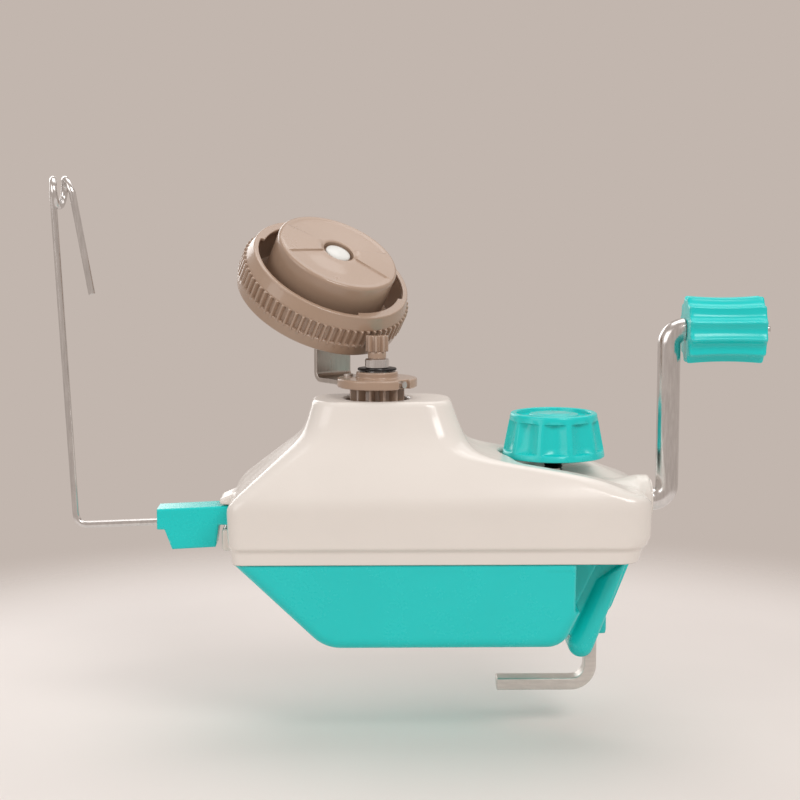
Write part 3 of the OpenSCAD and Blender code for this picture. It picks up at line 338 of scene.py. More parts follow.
def arc(cx, cz, r, a0, a1, n):
    """Points along an arc between two angles in degrees."""
    return [(cx + r * math.cos(t), cz + r * math.sin(t)) for t in np.radians(np.linspace(a0, a1, n + 1))]


def circle(r, n):
    return np.array(arc(0, 0, r, 0, 360, n)[:-1])


def slab(w, t, r):
    """Rounded rectangle section, w across and t thick."""
    return np.array(soften([(-w / 2, -t / 2), (w / 2, -t / 2), (w / 2, t / 2), (-w / 2, t / 2)], r))


def skin(rings, loop=False):
    """Quads between rings of points; the last ring joins the first in a loop, or both ends are closed."""
    m, n = len(rings), len(rings[0])
    j = np.arange(n)
    q = (j + 1) % n
    faces = []
    for i in range(m if loop else m - 1):
        a, b = i * n, (i + 1) % m * n
        faces += np.stack([a + j, a + q, b + q, b + j], 1).tolist()
    if not loop:
        faces += [list(range(n - 1, -1, -1)), list(range((m - 1) * n, m * n))]
    return np.concatenate(rings), faces


def lathe(rows, n, loop=True):
    """Rows of (radius, height), each a number or one for each of n angles, turned round Z."""
    angle = np.arange(n) * 2 * math.pi / n
    return skin([np.stack([r * np.cos(angle), r * np.sin(angle), z + 0 * angle], 1) for r, z in rows], loop)


def sweep(path, sections):
    """Closed sections of (u, v) points carried along a path, one for each of its points."""
    path = np.asarray(path, float)
    along = np.gradient(path, axis=0)
    along /= np.linalg.norm(along, axis=1)[:, None]
    u = np.array([0.0, 1.0, 0.0])
    rings = []
    for p, t, section in zip(path, along, sections):
        u = u - t * (u @ t)
        u /= np.linalg.norm(u)
        rings.append(p + section[:, :1] * u + section[:, 1:] * np.cross(t, u))
    return skin(rings)


def bar(line, w, t, r, trim):
    """Flat bar along a line of (x, z) whose two end sections are trimmed smaller."""
    full, small = slab(w, t, r), slab(w - trim, t - trim, r - 0.05)
    return sweep([(x, 0.0, z) for x, z in line], [small] + [full] * (len(line) - 2) + [small])


def prism(outline, z0, z1, bevel, steps=2):
    """An outline round Z raised from z0 to z1 with softened ends."""
    outline = np.asarray(outline, float)
    radius = np.linalg.norm(outline, axis=1)[:, None]
    turns = [math.pi / 2 * k / steps for k in range(steps + 1)]
    ends = [(bevel * (1 - math.sin(a)), bevel * (1 - math.cos(a))) for a in turns]
    rows = sorted([(z0 + h, d) for h, d in ends] + [(z1 - h, d) for h, d in ends])
    return skin([np.column_stack([outline * (1 - d / radius), np.full(len(outline), z)]) for z, d in rows])


# ---------------------------------------------------------------- smooth solids from distance fields
CORNERS = [(i, j, k) for i in (0, 1) for j in (0, 1) for k in (0, 1)]
EDGES = [(corner, axis) for corner in CORNERS for axis in range(3) if not corner[axis]]


def smax(a, b, k):
    """Larger of two fields with a rounding of about k."""
    h = np.maximum(k - np.abs(a - b), 0.0) / k
    return np.maximum(a, b) + h * h * k * 0.25


def smin(a, b, k):
    return -smax(-a, -b, k)


def box_field(x, y, z, x0, x1, half, z0, z1, k=0.6):
    """Box that reaches half to each side of the middle plane."""
    d = smax(np.maximum(x0 - x, x - x1), np.abs(y) - half, k)
    return smax(d, np.maximum(z0 - z, z - z1), k)


def polygon_field(x, z, points):
    """Signed distance to a polygon in the XZ plane."""
    best = np.full(x.shape, 1e9)
    inside = np.zeros(x.shape, bool)
    for i, (ax, az) in enumerate(points):
        bx, bz = points[i - 1]
        ex, ez = bx - ax, bz - az
        t = np.clip(((x - ax) * ex + (z - az) * ez) / (ex * ex + ez * ez), 0, 1)
        best = np.minimum(best, np.hypot(x - ax - ex * t, z - az - ez * t))
        if bz != az:
            inside ^= ((az > z) != (bz > z)) & (x < ex * (z - az) / ez + ax)
    return np.where(inside, -best, best)


def crossed_cells(f):
    """Grid cells that the zero level runs through, and the middle of its edge crossings in each."""
    inside = f < 0
    nx, ny, nz = (n - 1 for n in f.shape)
    count = sum(inside[i:nx + i, j:ny + j, k:nz + k].astype(np.int8) for i, j, k in CORNERS)
    cells = np.stack(np.nonzero((count > 0) & (count < 8)), 1)
    total, hits = np.zeros(cells.shape), np.zeros(len(cells))
    for start, axis in EDGES:
        end = np.array(start)
        end[axis] = 1
        fa, fb = (f[tuple((cells + corner).T)] for corner in (start, end))
        cross = (fa < 0) != (fb < 0)
        p = cells + np.array(start, float)
        p[:, axis] += np.where(cross, fa / np.where(cross, fa - fb, 1.0), 0.0)
        total += np.where(cross[:, None], p, 0.0)
        hits += cross
    return cells, total / hits[:, None]


def level_quads(inside, index):
    """One quad across each grid edge that the level crosses, facing outward."""
    faces = []
    for axis in range(3):
        u, v = (axis + 1) % 3, (axis + 2) % 3
        first, last = np.delete(inside, -1, axis), np.delete(inside, 0, axis)
        cell = np.stack(np.nonzero(first != last), 1)
        room = (cell[:, u] > 0) & (cell[:, u] < inside.shape[u] - 1)
        room &= (cell[:, v] > 0) & (cell[:, v] < inside.shape[v] - 1)
        cell = cell[room]
        ring = []
        for du, dv in ((1, 1), (0, 1), (0, 0), (1, 0)):
            c = cell.copy()
            c[:, u] -= du
            c[:, v] -= dv
            ring.append(index[tuple(c.T)])
        quad = np.stack(ring, 1)
        faces.append(np.where(first[tuple(cell.T)][:, None], quad, quad[:, ::-1]))
    return np.concatenate(faces)


def slope_of(field, p, h=0.02):
    """Gradient of a field at points."""
    g = np.empty_like(p)
    for a in range(3):
        d = np.zeros(3)
        d[a] = h
        g[:, a] = (field(*(p + d).T) - field(*(p - d).T)) / (2 * h)
    return g


def solidify(field, low, high, step):
    """Quads on the zero level of a field, each vertex moved onto the level, with its exact normal."""
    axes = [np.arange(a, b + step, step) for a, b in zip(low, high)]
    yy, zz = np.meshgrid(axes[1], axes[2], indexing="ij")
    f = np.stack([field(np.full(yy.shape, x), yy, zz).astype(np.float32) for x in axes[0]])
    cells, middle = crossed_cells(f)
    index = np.full([n - 1 for n in f.shape], -1)
    index[tuple(cells.T)] = np.arange(len(cells))
    verts = np.array(low, float) + middle * step
    for _ in range(4):
        g = slope_of(field, verts)
        move = field(*verts.T)[:, None] * g / np.maximum((g * g).sum(1), 0.05)[:, None]
        size = np.linalg.norm(move, axis=1)[:, None]
        verts -= move * np.minimum(1.0, 0.5 * step / np.maximum(size, 1e-9))
    g = slope_of(field, verts)
    return verts, level_quads(f < 0, index), g / np.maximum(np.linalg.norm(g, axis=1), 1e-9)[:, None]


# ---------------------------------------------------------------- upper shell
def low_section(z, left, right, side):
    """Section of the wall, drawn in from its widest by these amounts."""
    return (z, left - WALL_LEFT, WALL_RIGHT - right, WALL_HALF - side, CORNER_L - side, CORNER_R - side)


def turret_section(up, left, right, side):
    """Section at a share of the turret's height, with the shares of the way in from the wall's outline."""
    return (WALL_Z + TURRET_H * up, lerp(-WALL_LEFT, -TURRET_LEFT, left), lerp(WALL_RIGHT, TURRET_RIGHT, right),
            lerp(WALL_HALF, TURRET_HALF, side), lerp(CORNER_L, TURRET_CORNER, side),
            lerp(CORNER_R, TURRET_CORNER, side))


# height, left and right end, half depth, left and right corner radius
SECTIONS = np.array([
    low_section(BASE_H, 1.6, 4.5, 2.0),
    low_section(LIP_Z - 0.5, 1.4, 2.9, 1.6),
    low_section(LIP_Z, 0.6, 1.9, 0.4),
    low_section(LIP_Z + 3.8, 0.3, 0.2, 0.2),
    low_section(WALL_Z - 4, 0, 0, 0),
    low_section(WALL_Z - 2.6, 0.5, 0, 0),
    low_section(WALL_Z - 0.7, 2.1, 0.7, 0.3),
    turret_section(0.012, 0.1, 0.045, 0.04),
    turret_section(0.088, 0.196, 0.145, 0.11),
    turret_section(0.164, 0.293, 0.225, 0.19),
    turret_section(0.23, 0.377, 0.32, 0.27),
    turret_section(0.295, 0.46, 0.48, 0.35),
    turret_section(0.335, 0.512, 0.64, 0.40),
    turret_section(0.355, 0.537, 0.735, 0.425),
    turret_section(0.38, 0.57, 0.81, 0.455),
    turret_section(0.427, 0.63, 0.865, 0.52),
    turret_section(0.51, 0.738, 0.903, 0.64),
    turret_section(0.57, 0.815, 0.92, 0.72),
    turret_section(0.625, 0.865, 0.93, 0.78),
    turret_section(0.79, 0.925, 0.96, 0.90),
    turret_section(0.925, 0.965, 0.98, 0.965),
    turret_section(0.98, 0.985, 0.993, 1.0),
])
TABLE_STEP = 0.1
TABLE_Z = np.arange(BASE_H - 4, TURRET_Z + 4, TABLE_STEP)


def blurred(values, sigma):
    """Column smoothed over a height of about sigma."""
    n = int(4 * sigma / TABLE_STEP) + 1
    k = np.exp(-0.5 * (np.arange(-n, n + 1) * TABLE_STEP / sigma) ** 2)
    padded = np.concatenate([np.full(n, values[0]), values, np.full(n, values[-1])])
    return np.convolve(padded, k / k.sum(), "valid")


def smooth_column(column, shoulder):
    """One column of the sections over height, smoothed little at the lip and more on the slopes."""
    raw = np.interp(TABLE_Z, SECTIONS[:, 0], column)
    wall = np.clip((TABLE_Z - LIP_Z - 4.1) / 6, 0, 1)
    slope = np.clip((TABLE_Z - WALL_Z - 1) / 5, 0, 1) * np.clip((TURRET_Z - TABLE_Z) / 6, 0, 1)
    return lerp(lerp(blurred(raw, 0.5), blurred(raw, shoulder), wall), blurred(raw, 1.9), slope)


TABLE = [smooth_column(SECTIONS[:, c], 0.6 if c == 1 else 1.1) for c in range(1, 6)]
SLOPES = [np.gradient(column, TABLE_STEP) for column in TABLE[:3]]


def outline_field(x, y, z):
    """Rounded outline of the section at z, each side measured square to its own slope."""
    left_x, right_x, half, left_r, right_r = (np.interp(z, TABLE_Z, column) for column in TABLE)
    left_s, right_s, half_s = (np.sqrt(1 + np.interp(z, TABLE_Z, slope) ** 2) for slope in SLOPES)
    r = np.where(x < (left_x + right_x) / 2, left_r / left_s, right_r / right_s)
    du = np.maximum((left_x - x) / left_s, (x - right_x) / right_s) + r
    dv = (np.abs(y) - half) / half_s + r
    return np.hypot(np.maximum(du, 0), np.maximum(dv, 0)) + np.minimum(np.maximum(du, dv), 0) - r


def casing_field(x, y, z):
    """Outside of the shell with the dished deck and the knob's seat."""
    d = smax(outline_field(x, y, z), z - TURRET_Z, 1.8)
    c, s = math.cos(DECK_SLOPE), math.sin(DECK_SLOPE)
    along = (x - KNOB_X) * c - (z - DECK_Z) * s
    above = (x - KNOB_X) * s + (z - DECK_Z) * c
    dish = smin(TROUGH_R - np.hypot(y, above - TROUGH_R), along + 17, 6.0)
    seat = smin(SEAT_R - np.hypot(x - KNOB_X, y - KNOB_Y), z - DECK_Z, 1.2)
    return smax(smax(d, dish, 1.5), seat, 1.2)


def boss_field(x, around):
    """Boss of the crank bearing, which fades into the deck."""
    taper = BOSS_TAPER * np.minimum(x - BOSS_FULL, 0.0)
    cone = (around - BOSS_R - taper) / math.hypot(1, BOSS_TAPER)
    return smax(cone, np.maximum(x - BOSS_END, BOSS_FADE - x), 1.2)


def with_socket(d, x, y, z):
    """The shell with the guide's socket, the stop plate under it and the hood over it."""
    top = SOCKET_Z + SOCKET_H
    block = box_field(x, y, z, 1 - WALL_LEFT, 10.5 - WALL_LEFT, SOCKET_W / 2 + 2, SOCKET_Z - 2, top + 2)
    stop = box_field(x, y, z, top_low[0], 2 - WALL_LEFT, 5.5, BASE_H + 0.2, SOCKET_Z - 2.4, 0.9)
    hood = box_field(x, y, z, top_low[0] - 0.6, 5 - WALL_LEFT, 6.6, top + 1.4, top + 8.1, 0.8)
    slant = (z - top - 3.4 - HOOD_SLOPE * (x - top_low[0] + 0.6)) / math.hypot(1, HOOD_SLOPE)
    hood = smax(hood, slant, 0.8)
    return smin(smin(smin(d, block, 0.8), stop, 0.8), hood, 0.9)


def top_field(x, y, z):
    """Hollow shell with boss and socket, opened for the rotor, the stud, the bearing and the guide."""
    around = np.hypot(y, z - CRANK_Z)
    d = casing_field(x, y, z)
    d = smax(d, -(d + SHELL_T), 0.3)
    d = smax(d, BASE_H - z, 0.5)
    d = with_socket(smin(d, boss_field(x, around), 3.0), x, y, z)
    d = smax(d, smin(WELL_R - np.hypot(x, y), z - WELL_Z, 0.5), 0.9)
    d = smax(d, np.minimum(STUD_HOLE_R - np.hypot(x - KNOB_X, y - KNOB_Y), z - LUG_TOP + 2.9), 0.6)
    d = smax(d, np.minimum(BUSH_R - around, x - BOSS_END + BUSH_LEN), 0.4)
    d = smax(d, np.minimum(CRANK_R + SLIDE_GAP - around, x - BOSS_FADE + 4), 0.3)
    slot = box_field(x, y, z, top_low[0] - 6, 9.4 - WALL_LEFT, SOCKET_W / 2 + SLIDE_GAP,
                     SOCKET_Z - SLIDE_GAP, SOCKET_Z + SOCKET_H + SLIDE_GAP, 0.3)
    return smax(d, -slot, 0.4)


def top_shell():
    shape = solidify(top_field, (-56, -33, 29), (98, 33, 86), 0.8)
    make("top_shell_skin", shape, "casing", ["top_shell"], "white_shell")


# ---------------------------------------------------------------- base
BASE_LEFT, BASE_TOE, BASE_FOOT, BASE_HALF = WALL_LEFT - 1.8, 18.2, 25.0, WALL_HALF - 2.6
END_LOW, END_TOP, END_HALF = 63.4, 78.1, 12.0
SLANT_L, SLANT_R = math.atan2(BASE_H, BASE_LEFT - BASE_TOE), math.atan2(BASE_H, END_TOP - END_LOW)
DRAFT = math.atan2(BASE_HALF - BASE_FOOT, BASE_H)
FLOOR_T = 2.5
POCKET_X, POCKET_Z, POCKET_OPEN, ROOF_Z, ROOF_HALF = END_LOW + 4, 13.0, 9.0, BASE_H - 2.2, 19.0
TONGUE_R, TONGUE_X, TONGUE_Z, TONGUE_TAPER = 4.7, BAR_X - BAR_T / 2 - 1.4, -3.3, 0.085
TONGUE_LEN, TONGUE_TILT, CUT_TILT = 42.0, math.radians(24), math.radians(35)
CUT_X, CUT_Z = TONGUE_X + 3.4, TONGUE_Z + 21.9
PRONG_Y, WEB_Y, PLATE_Y, PLATE_T = 4.2, 5.2, 8.0, 3.0
WEB_TOP = BASE_H - 1.1
WEB = [(END_LOW - 6, 1.0), (TONGUE_X, TONGUE_Z + 3), (TONGUE_X + 14.5, WEB_TOP), (END_LOW - 6, WEB_TOP)]
PLATE = [(TONGUE_X, TONGUE_Z), (BAR_X + 7, TONGUE_Z + 0.5), (BAR_X + 7, TONGUE_Z + 7.7),
         (BAR_X + 8.9, TONGUE_Z + 10.5), (BAR_X + 15, WEB_TOP - 6.6), (BAR_X + 15, WEB_TOP),
         (END_LOW + 3, WEB_TOP)]


def side_field(x, z):
    """Slanted ends and the underside."""
    left = -(x + BASE_TOE) * math.sin(SLANT_L) - z * math.cos(SLANT_L)
    right = (x - END_LOW) * math.sin(SLANT_R) - z * math.cos(SLANT_R)
    return smax(smax(left, -z, 4.0), right, 5.0)


def block_field(x, y, z):
    """Outside of the base without the clamp's end."""
    front = (np.abs(y) - BASE_FOOT - z * math.tan(DRAFT)) * math.cos(DRAFT)
    return smax(side_field(x, z), front, 4.5)


def roof_field(x, y, z):
    """Plate under the shell at the clamp's end, set back over the pockets."""
    d = smax(np.maximum(END_LOW - 13.4 - x, x - BAR_X - 11), np.abs(y) - BASE_HALF + 0.4, 9.0)
    return smax(smax(d, ROOF_Z - z, 0.5), smin(x - POCKET_X, np.abs(y) - ROOF_HALF, 0.8), 0.6)


def pocket_field(x, y, z):
    """Inside of the pocket on one side of the clamp's end; past the roof it is open upward."""
    room = np.where(y > ROOF_HALF, POCKET_OPEN, ROOF_Z - z)
    return smin(smin(x - POCKET_X, y - END_HALF, 1.2), smin(z - POCKET_Z, room, 1.2), 1.2)


def tongue_field(x, y, z):
    """Two round prongs side by side that lean with the end wall, the front one cut off on a slant."""
    c, s = math.cos(TONGUE_TILT), math.sin(TONGUE_TILT)
    u = (x - TONGUE_X) * c - (z - TONGUE_Z) * s
    t = (x - TONGUE_X) * s + (z - TONGUE_Z) * c
    across = np.hypot(u, np.maximum(np.abs(y) - PRONG_Y, 0.0))
    d = np.where(t > 0, across, np.sqrt(across * across + t * t)) - TONGUE_R
    d = smax(d, u - TONGUE_R + TONGUE_TAPER * np.maximum(t, 0.0), 1.2)
    cut = (z - CUT_Z) * math.cos(CUT_TILT) - (x - CUT_X) * math.sin(CUT_TILT)
    return smax(np.maximum(d, t - TONGUE_LEN), smin(cut, -y - WEB_Y, 0.5), 0.5)


def base_field(x, y, z):
    """Block and roof with pockets, tongue, web and plate, hollowed, with a slot for the clamp bar."""
    d = smin(block_field(x, y, z), roof_field(x, y, z), 0.8)
    for side in (-1, 1):
        d = smax(d, pocket_field(x, side * y, z), 0.8)
    d = smin(d, tongue_field(x, y, z), 0.5)
    d = smin(d, smax(polygon_field(x, z, WEB), np.abs(y) - WEB_Y, 0.6), 0.6)
    plate = np.abs(y - PLATE_Y - PLATE_T / 2) - PLATE_T / 2
    d = smin(d, smax(polygon_field(x, z, PLATE), plate, 0.6), 1.5)
    d = smax(d, z - BASE_H, 0.4)
    hollow = np.maximum(block_field(x, y, z) + SHELL_T, np.maximum(x - POCKET_X + SHELL_T, FLOOR_T - z))
    narrow = np.maximum(side_field(x, z) + SHELL_T, np.abs(y) - END_HALF + SHELL_T)
    narrow = np.maximum(narrow, np.maximum(END_LOW - 2 - x, FLOOR_T - z))
    slot = np.maximum(np.abs(x - BAR_X) - BAR_T / 2 - 0.5, np.abs(y) - BAR_W / 2 - 0.5)
    return smax(smax(smax(d, -hollow, 0.4), -narrow, 0.4), -slot, 0.5)


def base_shell():
    shape = solidify(base_field, (-51, -31, -10), (96, 31, 32), 0.8)
    make("base_shell_skin", shape, "casing", ["base_shell"], "teal")


# ---------------------------------------------------------------- spool, in its own tilted frame
RIBS, RIB_STEPS = 70, 10
ROOT_R, RIB_H, CUP_R, LIP_IN = 30.0, 1.4, 27.3, 1.4
AXLE_R = 3.06
DRUM_R, DRUM_TOP, SECTOR_D = 22.3, 16.05, 0.5


def near(angles, middle, half, edge):
    """1 within half of a middle angle, falling to 0 over edge, in degrees."""
    off = np.abs((angles - middle + 180) % 360 - 180)
    return np.clip((half - off) / edge, 0, 1)


def ring_gear():
    """Cup with a ribbed band, a sloping rim and two short lips inside the rim."""
    n = RIBS * RIB_STEPS
    angles = np.arange(n) * 360 / n
    phase = (np.arange(n) * RIBS / n) % 1.0 - 0.5
    tooth = ROOT_R + RIB_H * ease(np.clip((0.27 - np.abs(phase)) / 0.13, 0, 1))
    lip = np.maximum(near(angles, 16.5, 28.0, 1.2), near(angles, 196.5, 28.0, 1.2))
    inner = CUP_R - LIP_IN * lip
    flank = [(30.92, -2.85), (30.95, -2.55), (30.85, -2.40), (30.3, -2.32), (ROOT_R, -2.2), (ROOT_R, 0.6),
             (ROOT_R, 3.35), (30.1, 3.5), (30.45, 3.58)]
    rows = [(AXLE_R, -7.2), (29.7, -7.2), (30.1, -7.1), (30.45, -6.8), (30.62, -6.4), (30.85, -4.4)]
    rows += [(30.92, -3.15), (np.maximum(30.92, tooth - 0.35), -3.05)]
    rows += [(np.maximum(r, tooth), z) for r, z in flank]
    rows += [(np.maximum(30.5, tooth - 0.1), 3.78), (np.maximum(30.5, tooth - 0.4), 3.9)]
    rows += [(30.5, 3.95), (30.5, 4.15), (30.42, 4.3), (29.38, 7.5), (29.3, 7.75), (29.22, 8.2), (29.05, 8.42)]
    rows += [(28.8, 8.5), (inner + 0.35, 8.5), (inner + 0.1, 8.42), (inner, 8.2)]
    rows += [(inner, 7.5), (inner + 0.08, 7.35), (inner + 0.35, 7.28), (CUP_R, 7.2), (CUP_R, 7.0)]
    rows += [(CUP_R, -4.6), (CUP_R - 0.15, -5.05), (CUP_R - 0.6, -5.2), (AXLE_R, -5.2)]
    make("ring_gear_skin", on_spool(lathe(rows, n)), "spool", ["ring_gear"], "brown", weighted=True)


def winding_drum():
    """Hollow drum whose slightly domed top has two raised sectors."""
    n = 288
    angles = np.arange(n) * 360 / n
    wing = ease(np.maximum(near(angles, 59.0, 25.5, 1.0), near(angles, 239.0, 25.5, 1.0)))
    edge = DRUM_R - 1.1

    def top(r):
        dome = 0.85 * (edge - r) / 14.4
        return DRUM_TOP + dome - SECTOR_D * (1 - wing) * min(1.0, (edge - r) / 2.0)

    rows = [(AXLE_R, -5.2), (6.0, -5.2), (6.0, 9.9), (20.3, 13.2), (20.3, -5.2), (21.9, -5.2), (22.2, -5.05)]
    rows += [(DRUM_R, z) for z in (-4.7, -2.0, 4.0, 10.0, 14.6)]
    rows += [(22.28, 15.1), (22.1, 15.55), (21.75, 15.88), (edge, DRUM_TOP)]
    rows += [(r, top(r)) for r in (20.2, 19.2, 14.0, 9.0, 7.2)]
    rows += [(6.4, 16.38), (5.9, 16.25), (5.65, 16.1), (5.6, 15.7), (5.6, 13.4), (AXLE_R, 13.4)]
    make("winding_drum_skin", on_spool(lathe(rows, n)), "spool", ["winding_drum"], "brown", weighted=True)


def axle_cap():
    """Low domed cap on the end of the spool's axle."""
    rows = [(AXIS_R, 13.8), (4.3, 13.8), (4.55, 14.0), (4.6, 14.3), (4.6, 15.2), (4.5, 15.5), (4.2, 15.68),
            (3.0, 15.95), (1.5, 16.13), (AXIS_R, 16.2)]
    make("axle_cap_skin", on_spool(lathe(rows, 64, False)), "rotor", ["axle_cap"], "ivory")


# ---------------------------------------------------------------- rotor, sun pinion and post
def gear_outline(teeth, r, tip, root, w_tip, w_root, turn):
    """Points round a toothed outline with softened corners."""
    sides = ((r - root, -w_root / 2), (r + tip, -w_tip / 2), (r + tip, w_tip / 2), (r - root, w_root / 2))
    points = []
    for i in range(teeth):
        middle = 2 * math.pi * i / teeth + math.radians(turn)
        for radius, off in sides:
            a = middle + off / radius
            points.append((radius * math.cos(a), radius * math.sin(a)))
    return soften(points, 0.35)


def rotor_gear():
    outline = gear_outline(12, r=8.4, tip=1.37, root=1.5, w_tip=0.88, w_root=2.1, turn=15)
    make("rotor_gear_skin", prism(outline, PINION_LOW, PINION_TOP, 0.3), "rotor", ["rotor_gear"], "brown")


def sun_pinion():
    """Fixed pinion on a plain collar."""
    neck = SUN_LOW + 2.5
    outline = gear_outline(8, r=3.531, tip=0.45, root=1.0, w_tip=0.78, w_root=1.24, turn=SPOOL_LEAN + 180)
    make("sun_pinion_skin", prism(outline, neck, SUN_TOP, 0.25), "casing", ["sun_pinion"], "brown")
    rows = [(AXIS_R, SUN_LOW), (2.9, SUN_LOW), (3.15, SUN_LOW + 0.15), (3.2, SUN_LOW + 0.4), (3.2, neck - 0.4),
            (3.12, neck - 0.1), (2.8, neck + 0.05), (AXIS_R, neck + 0.05)]
    make("sun_collar", lathe(rows, 64, False), "casing", [], "brown")


def turned(x, y, degrees):
    """Coordinates in a frame turned about Z."""
    c, s = math.cos(math.radians(degrees)), math.sin(math.radians(degrees))
    return x * c + y * s, y * c - x * s


def flange_field(x, y, z):
    """Flange and collar with a notch for the set screw and a seat for the strip underneath."""
    rho = np.hypot(x, y)
    d = smax(rho - FLANGE_R, np.maximum(PINION_TOP - z, z - FLANGE_TOP), 0.7)
    d = smin(d, smax(rho - COLLAR_R, np.maximum(PINION_TOP - z, z - COLLAR_TOP), 0.6), 0.7)
    u, w = turned(x, y, NOTCH_TURN)
    d = smax(d, smin(u - NOTCH_R, NOTCH_W / 2 - np.abs(w), 0.5), 0.4)
    u, w = turned(x, y, SPOOL_LEAN + 180)
    seat = np.minimum(u + STRIP_BACK + 1, STRIP_W / 2 + 0.05 - np.abs(w))
    seat = np.minimum(seat, PINION_TOP + STRIP_T + 0.05 - z)
    return smax(smax(d, seat, 0.3), POST_R + 0.06 - rho, 0.4)


def rotor_flange():
    shape = solidify(flange_field, (-15, -15, PINION_TOP - 1), (15, 15, COLLAR_TOP + 1), 0.4)
    make("rotor_flange_skin", shape, "rotor", ["rotor_flange"], "brown")


def spindle_post():
    """Stepped post with the clip's groove and the tenon for the sun pinion."""
    step, low, high = PINION_LOW - 0.4, CLIP_LOW + 0.05, CLIP_TOP - 0.05
    rows = [(AXIS_R, POST_LOW), (POST_FOOT_R, POST_LOW), (POST_FOOT_R, step), (POST_R, step)]
    rows += [(POST_R, low - 0.15), (GROOVE_R + 0.2, low - 0.1), (GROOVE_R, low)]
    rows += [(GROOVE_R, high), (GROOVE_R + 0.2, high + 0.1), (POST_R - 0.15, high + 0.15), (POST_R, high + 0.3)]
    rows += [(POST_R, SUN_LOW - 0.3), (POST_R - 0.15, SUN_LOW - 0.1), (POST_R - 0.4, SUN_LOW - 0.02)]
    rows += [(TENON_R, SUN_LOW - 0.01), (TENON_R, POST_TOP - 0.1), (AXIS_R, POST_TOP)]
    make("spindle_post_skin", lathe(rows, 64, False), "casing", ["spindle_post"], "bright_rod", sharp=35)


def post_clip():
    """Flat ring in the post's groove."""
    low, high, inner = CLIP_LOW + 0.04, CLIP_TOP - 0.04, GROOVE_R + 0.05
    rows = [(inner, low), (CLIP_R - 0.2, low), (CLIP_R - 0.02, low + 0.11), (CLIP_R, (low + high) / 2)]
    rows += [(CLIP_R - 0.02, high - 0.14), (CLIP_R - 0.2, high), (inner, high)]
    make("post_clip_skin", lathe(rows, 96), "casing", ["post_clip"], "black")


def arm_strip():
    """Bent strip from the rotor up to the spool's axle, in the arm's frame."""
    r = STRIP_BEND + STRIP_T / 2
    foot = PINION_TOP + STRIP_T / 2
    tilt = math.radians(SPOOL_TILT)
    c, s = math.cos(tilt), math.sin(tilt)
    axle_x = math.hypot(SPOOL_C[0], SPOOL_C[1]) + STRIP_DOWN * s
    axle_z = SPOOL_C[2] - STRIP_DOWN * c
    fold_x = STRIP_UP_X + STRIP_T + STRIP_BEND
    fold_z = axle_z + (fold_x - axle_x) * math.tan(tilt) - (STRIP_BEND + STRIP_T) / c
    end = (axle_x - fold_x) / c + STRIP_PAST
    line = [(-STRIP_BACK, foot), (0.2 - STRIP_BACK, foot), (10.0, foot)]
    line += arc(STRIP_UP_X - STRIP_BEND, foot + r, r, -90, 0, 10)
    line += arc(fold_x, fold_z, r, 180, 90 + SPOOL_TILT, 8)
    line += [(fold_x + d * c - r * s, fold_z + d * s + r * c) for d in (end - 0.3, end)]
    shape = put(bar(line, STRIP_W, STRIP_T, r=0.45, trim=0.4), (0, 0, 0), rot_z(SPOOL_LEAN + 180))
    make("arm_strip", shape, "rotor", ["arm_bracket"], "steel", MAT["strip_steel"], weighted=True)


# ---------------------------------------------------------------- crank and grip
def crank_rod():
    """Shaft, bent arm and grip pin as one round rod of changing radius."""
    start = [(SHAFT_START, SHAFT_R), (SHOULDER_X - 0.6, SHAFT_R), (SHOULDER_X - 0.1, SHAFT_R),
             (SHOULDER_X, CRANK_R - 0.2), (SHOULDER_X + 0.5, CRANK_R), (SHOULDER_X + 5.5, CRANK_R)]
    bend = arc(ARM_X - CRANK_BEND, CRANK_Z + CRANK_BEND, CRANK_BEND, -90, 0, 14)
    bend += [(ARM_X, z) for z in np.linspace(CRANK_Z + CRANK_BEND + 2, GRIP_Z - CRANK_BEND - 2, 12)]
    bend += arc(ARM_X + CRANK_BEND, GRIP_Z - CRANK_BEND, CRANK_BEND, 180, 90, 14)
    end = GRIP_X + GRIP_LEN - 0.2
    tail = [(GRIP_X - 0.35, CRANK_R - 0.3), (GRIP_X - 0.3, SHAFT_R), (GRIP_X + 0.3, SHAFT_R),
            (end - 0.1, SHAFT_R), (end, PIN_R), (PIN_END - 0.4, PIN_R), (PIN_END - 0.1, PIN_R - 0.15),
            (PIN_END, PIN_R - 0.45)]
    line = [(x, CRANK_Z) for x, _ in start] + bend + [(x, GRIP_Z) for x, _ in tail]
    radii = [r for _, r in start] + [CRANK_R] * len(bend) + [r for _, r in tail]
    ring = circle(1.0, 48)
    shape = sweep([(x, 0, z) for x, z in line], [ring * r for r in radii])
    make("crank_rod_skin", shape, "crank", ["crank_rod"], "bright_rod", sharp=40)


def fluted(rows, n, flutes, depth, width):
    """Rows of (radius, height, share of the depth) turned into a lathe with parabolic flutes."""
    phase = np.abs((np.arange(n) * flutes / n) % 1.0 - 0.5) * 2
    dip = depth * np.clip(1 - (phase / width) ** 2, 0, 1)
    return lathe([(r - share * dip, z) for r, z, share in rows], n)


